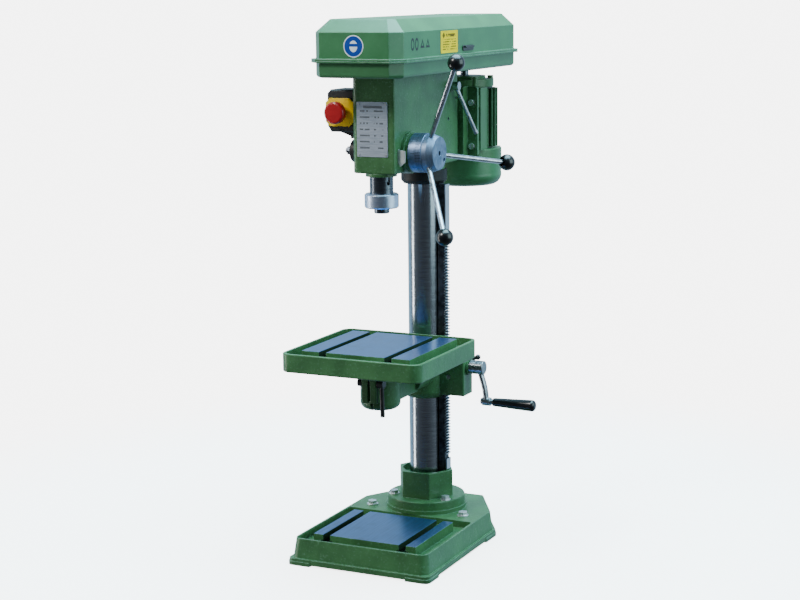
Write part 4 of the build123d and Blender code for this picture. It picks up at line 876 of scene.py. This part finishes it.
class DRILL_OT_stage(bpy.types.Operator):
    """Builds the pale floor, the soft lights, the surround and the camera"""

    bl_idname = "drill.stage"
    bl_label = "Stage"

    def execute(self, context):
        self.floor()
        self.surround()
        power = stage()
        self.light("side_light", (3.1, 0.1, 1.5), (2.6, 2.4), power.side_power,
                   (0.68, 0.94, 0.98))
        self.light("strip_light", (-2.45, -1.25, 0.55), (0.34, 3.9), power.strip_power,
                   (1.0, 0.99, 0.96))
        self.light("front_light", (-1.3, -2.5, 3.1), (0.8, 0.8), power.front_power,
                   (1.0, 0.97, 0.92))
        self.light("top_light", (0.2, 0.2, 3.2), (2.6, 2.6), power.top_power,
                   (0.48, 0.86, 1.0))
        self.camera(context)
        return {"FINISHED"}

    def floor(self):
        """Pale paper that only the camera sees, so it lights nothing and fades to the backdrop."""
        shape = bmesh.new()
        bmesh.ops.create_circle(shape, cap_ends=True, segments=96, radius=1.6)
        floor = mesh_object("stage_floor", shape)
        made = Finish("stage_paper", Roughness=0.9, Emission_Color=WHITE, Emission_Strength=3.9)
        cloud = made.noise(2.0, 2.0)
        pale = stage().backdrop_colour
        base = made.mix(cloud, rgba(dimmed(pale, 0.985)), rgba(pale))
        x, y, z = made.axes()
        reach = (x * x + y * y).math("SQRT")
        fade_start, fade_end = 0.75, 1.5
        made.feed(Base_Color=base, Alpha=reach.smooth(fade_start, fade_end, 1.0, 0.0))
        floor.data.materials.append(made.material)
        floor.visible_diffuse = False
        floor.visible_glossy = False
        floor.visible_shadow = False

    def surround(self):
        """A studio round the machine: dim in front of it, pale and cool behind it.

        What the camera sees behind the floor is plain and as pale as the floor.
        """
        world = bpy.data.worlds.new("studio_surround")
        bpy.context.scene.world = world
        world.use_nodes = True
        made = NodeWriter(world.node_tree)
        direction = made.node("ShaderNodeTexCoord", {}, {}, "Generated")
        toward = {0: direction, 1: (-0.35, 0.92, 0.18)}
        facing = made.node("ShaderNodeVectorMath", {"operation": "DOT_PRODUCT"}, toward, "Value")
        stops = (
            (0.0, (0.06, 0.068, 0.08, 1.0)),
            (0.52, (0.16, 0.19, 0.22, 1.0)),
            (0.72, (0.44, 0.74, 1.0, 1.0)),
            (1.0, (0.58, 0.84, 1.0, 1.0)),
        )
        shade = made.node("ShaderNodeValToRGB", {"stops": stops}, {0: facing * 0.5 + 0.5})
        around = {"Color": shade, "Strength": stage().surround}
        behind = {"Color": WHITE, "Strength": stage().backdrop_light}
        lit = made.node("ShaderNodeBackground", {}, around)
        plain = made.node("ShaderNodeBackground", {}, behind)
        seen = made.node("ShaderNodeLightPath", {}, {}, "Is Camera Ray")
        mixed = made.node("ShaderNodeMixShader", {}, {0: seen, 1: lit, 2: plain})
        made.node("ShaderNodeOutputWorld", {}, {"Surface": mixed})

    def light(self, name, place, size, power, colour):
        """A soft rectangular light that faces the middle of the machine."""
        data = bpy.data.lights.new(name, "AREA")
        data.shape = "RECTANGLE"
        data.size, data.size_y = size
        data.energy = power
        data.color = colour
        made = bpy.data.objects.new(name, data)
        made.location = place
        aim = Vector((0.0, 0.0, 0.6)) - Vector(place)
        made.rotation_euler = aim.to_track_quat("-Z", "Y").to_euler()
        bpy.context.scene.collection.objects.link(made)

    def camera(self, context):
        """The camera stands to the right of the front, about as high as the head."""
        data = bpy.data.cameras.new("camera")
        data.lens = 80.217
        data.sensor_width = 36.0
        data.shift_x = -0.0067
        data.shift_y = -0.0013
        data.clip_end = 60.0
        place = Vector((1.57303, -3.39001, 1.16926))
        yaw = math.radians(25.53)
        pitch = math.radians(10.05)
        roll = math.radians(-0.57)
        ahead = Vector((-math.sin(yaw), math.cos(yaw), 0.0))
        forward = ahead * math.cos(pitch) - Vector((0.0, 0.0, math.sin(pitch)))
        level = Vector((math.cos(yaw), math.sin(yaw), 0.0))
        above = level.cross(forward)
        right = level * math.cos(roll) + above * math.sin(roll)
        upward = above * math.cos(roll) - level * math.sin(roll)
        made = bpy.data.objects.new("camera", data)
        turned = Matrix((right, upward, -forward)).transposed().to_4x4()
        made.matrix_world = Matrix.Translation(place) @ turned
        context.scene.collection.objects.link(made)
        context.scene.camera = made


# ---------------------------------------------------------------- panel and registration

OPERATORS = (
    DRILL_OT_castings,
    DRILL_OT_sheet_parts,
    DRILL_OT_column_and_rack,
    DRILL_OT_spindle_parts,
    DRILL_OT_feed_parts,
    DRILL_OT_lifting_parts,
    DRILL_OT_fasteners,
    DRILL_OT_drive_parts,
    DRILL_OT_switch,
    DRILL_OT_rating_plate,
    DRILL_OT_guard_sign,
    DRILL_OT_guard_labels,
    DRILL_OT_guard_latch,
    DRILL_OT_stage,
)
SETTINGS = (
    ("drill_paint", DrillPaintSettings),
    ("drill_detail", DrillDetailSettings),
    ("drill_stage", DrillStageSettings),
)


class DRILL_PT_panel(bpy.types.Panel):
    """Lists the steps and their settings"""

    bl_idname = "DRILL_PT_panel"
    bl_label = "Drill Press"
    bl_space_type = "VIEW_3D"
    bl_region_type = "UI"
    bl_category = "Drill Press"

    def draw(self, context):
        for name, group in SETTINGS:
            block = self.layout.box()
            for key in group.__annotations__:
                block.prop(getattr(context.scene, name), key)
        for operator in OPERATORS:
            self.layout.operator(operator.bl_idname)


def register():
    for name, group in SETTINGS:
        bpy.utils.register_class(group)
        setattr(bpy.types.Scene, name, PointerProperty(type=group))
    for operator in OPERATORS:
        bpy.utils.register_class(operator)
    bpy.utils.register_class(DRILL_PT_panel)


def unregister():
    bpy.utils.unregister_class(DRILL_PT_panel)
    for operator in reversed(OPERATORS):
        bpy.utils.unregister_class(operator)
    for name, group in reversed(SETTINGS):
        delattr(bpy.types.Scene, name)
        bpy.utils.unregister_class(group)


def main():
    register()
    for operator in OPERATORS:
        group, name = operator.bl_idname.split(".")
        getattr(getattr(bpy.ops, group), name)()


if __name__ == "__main__":
    main()
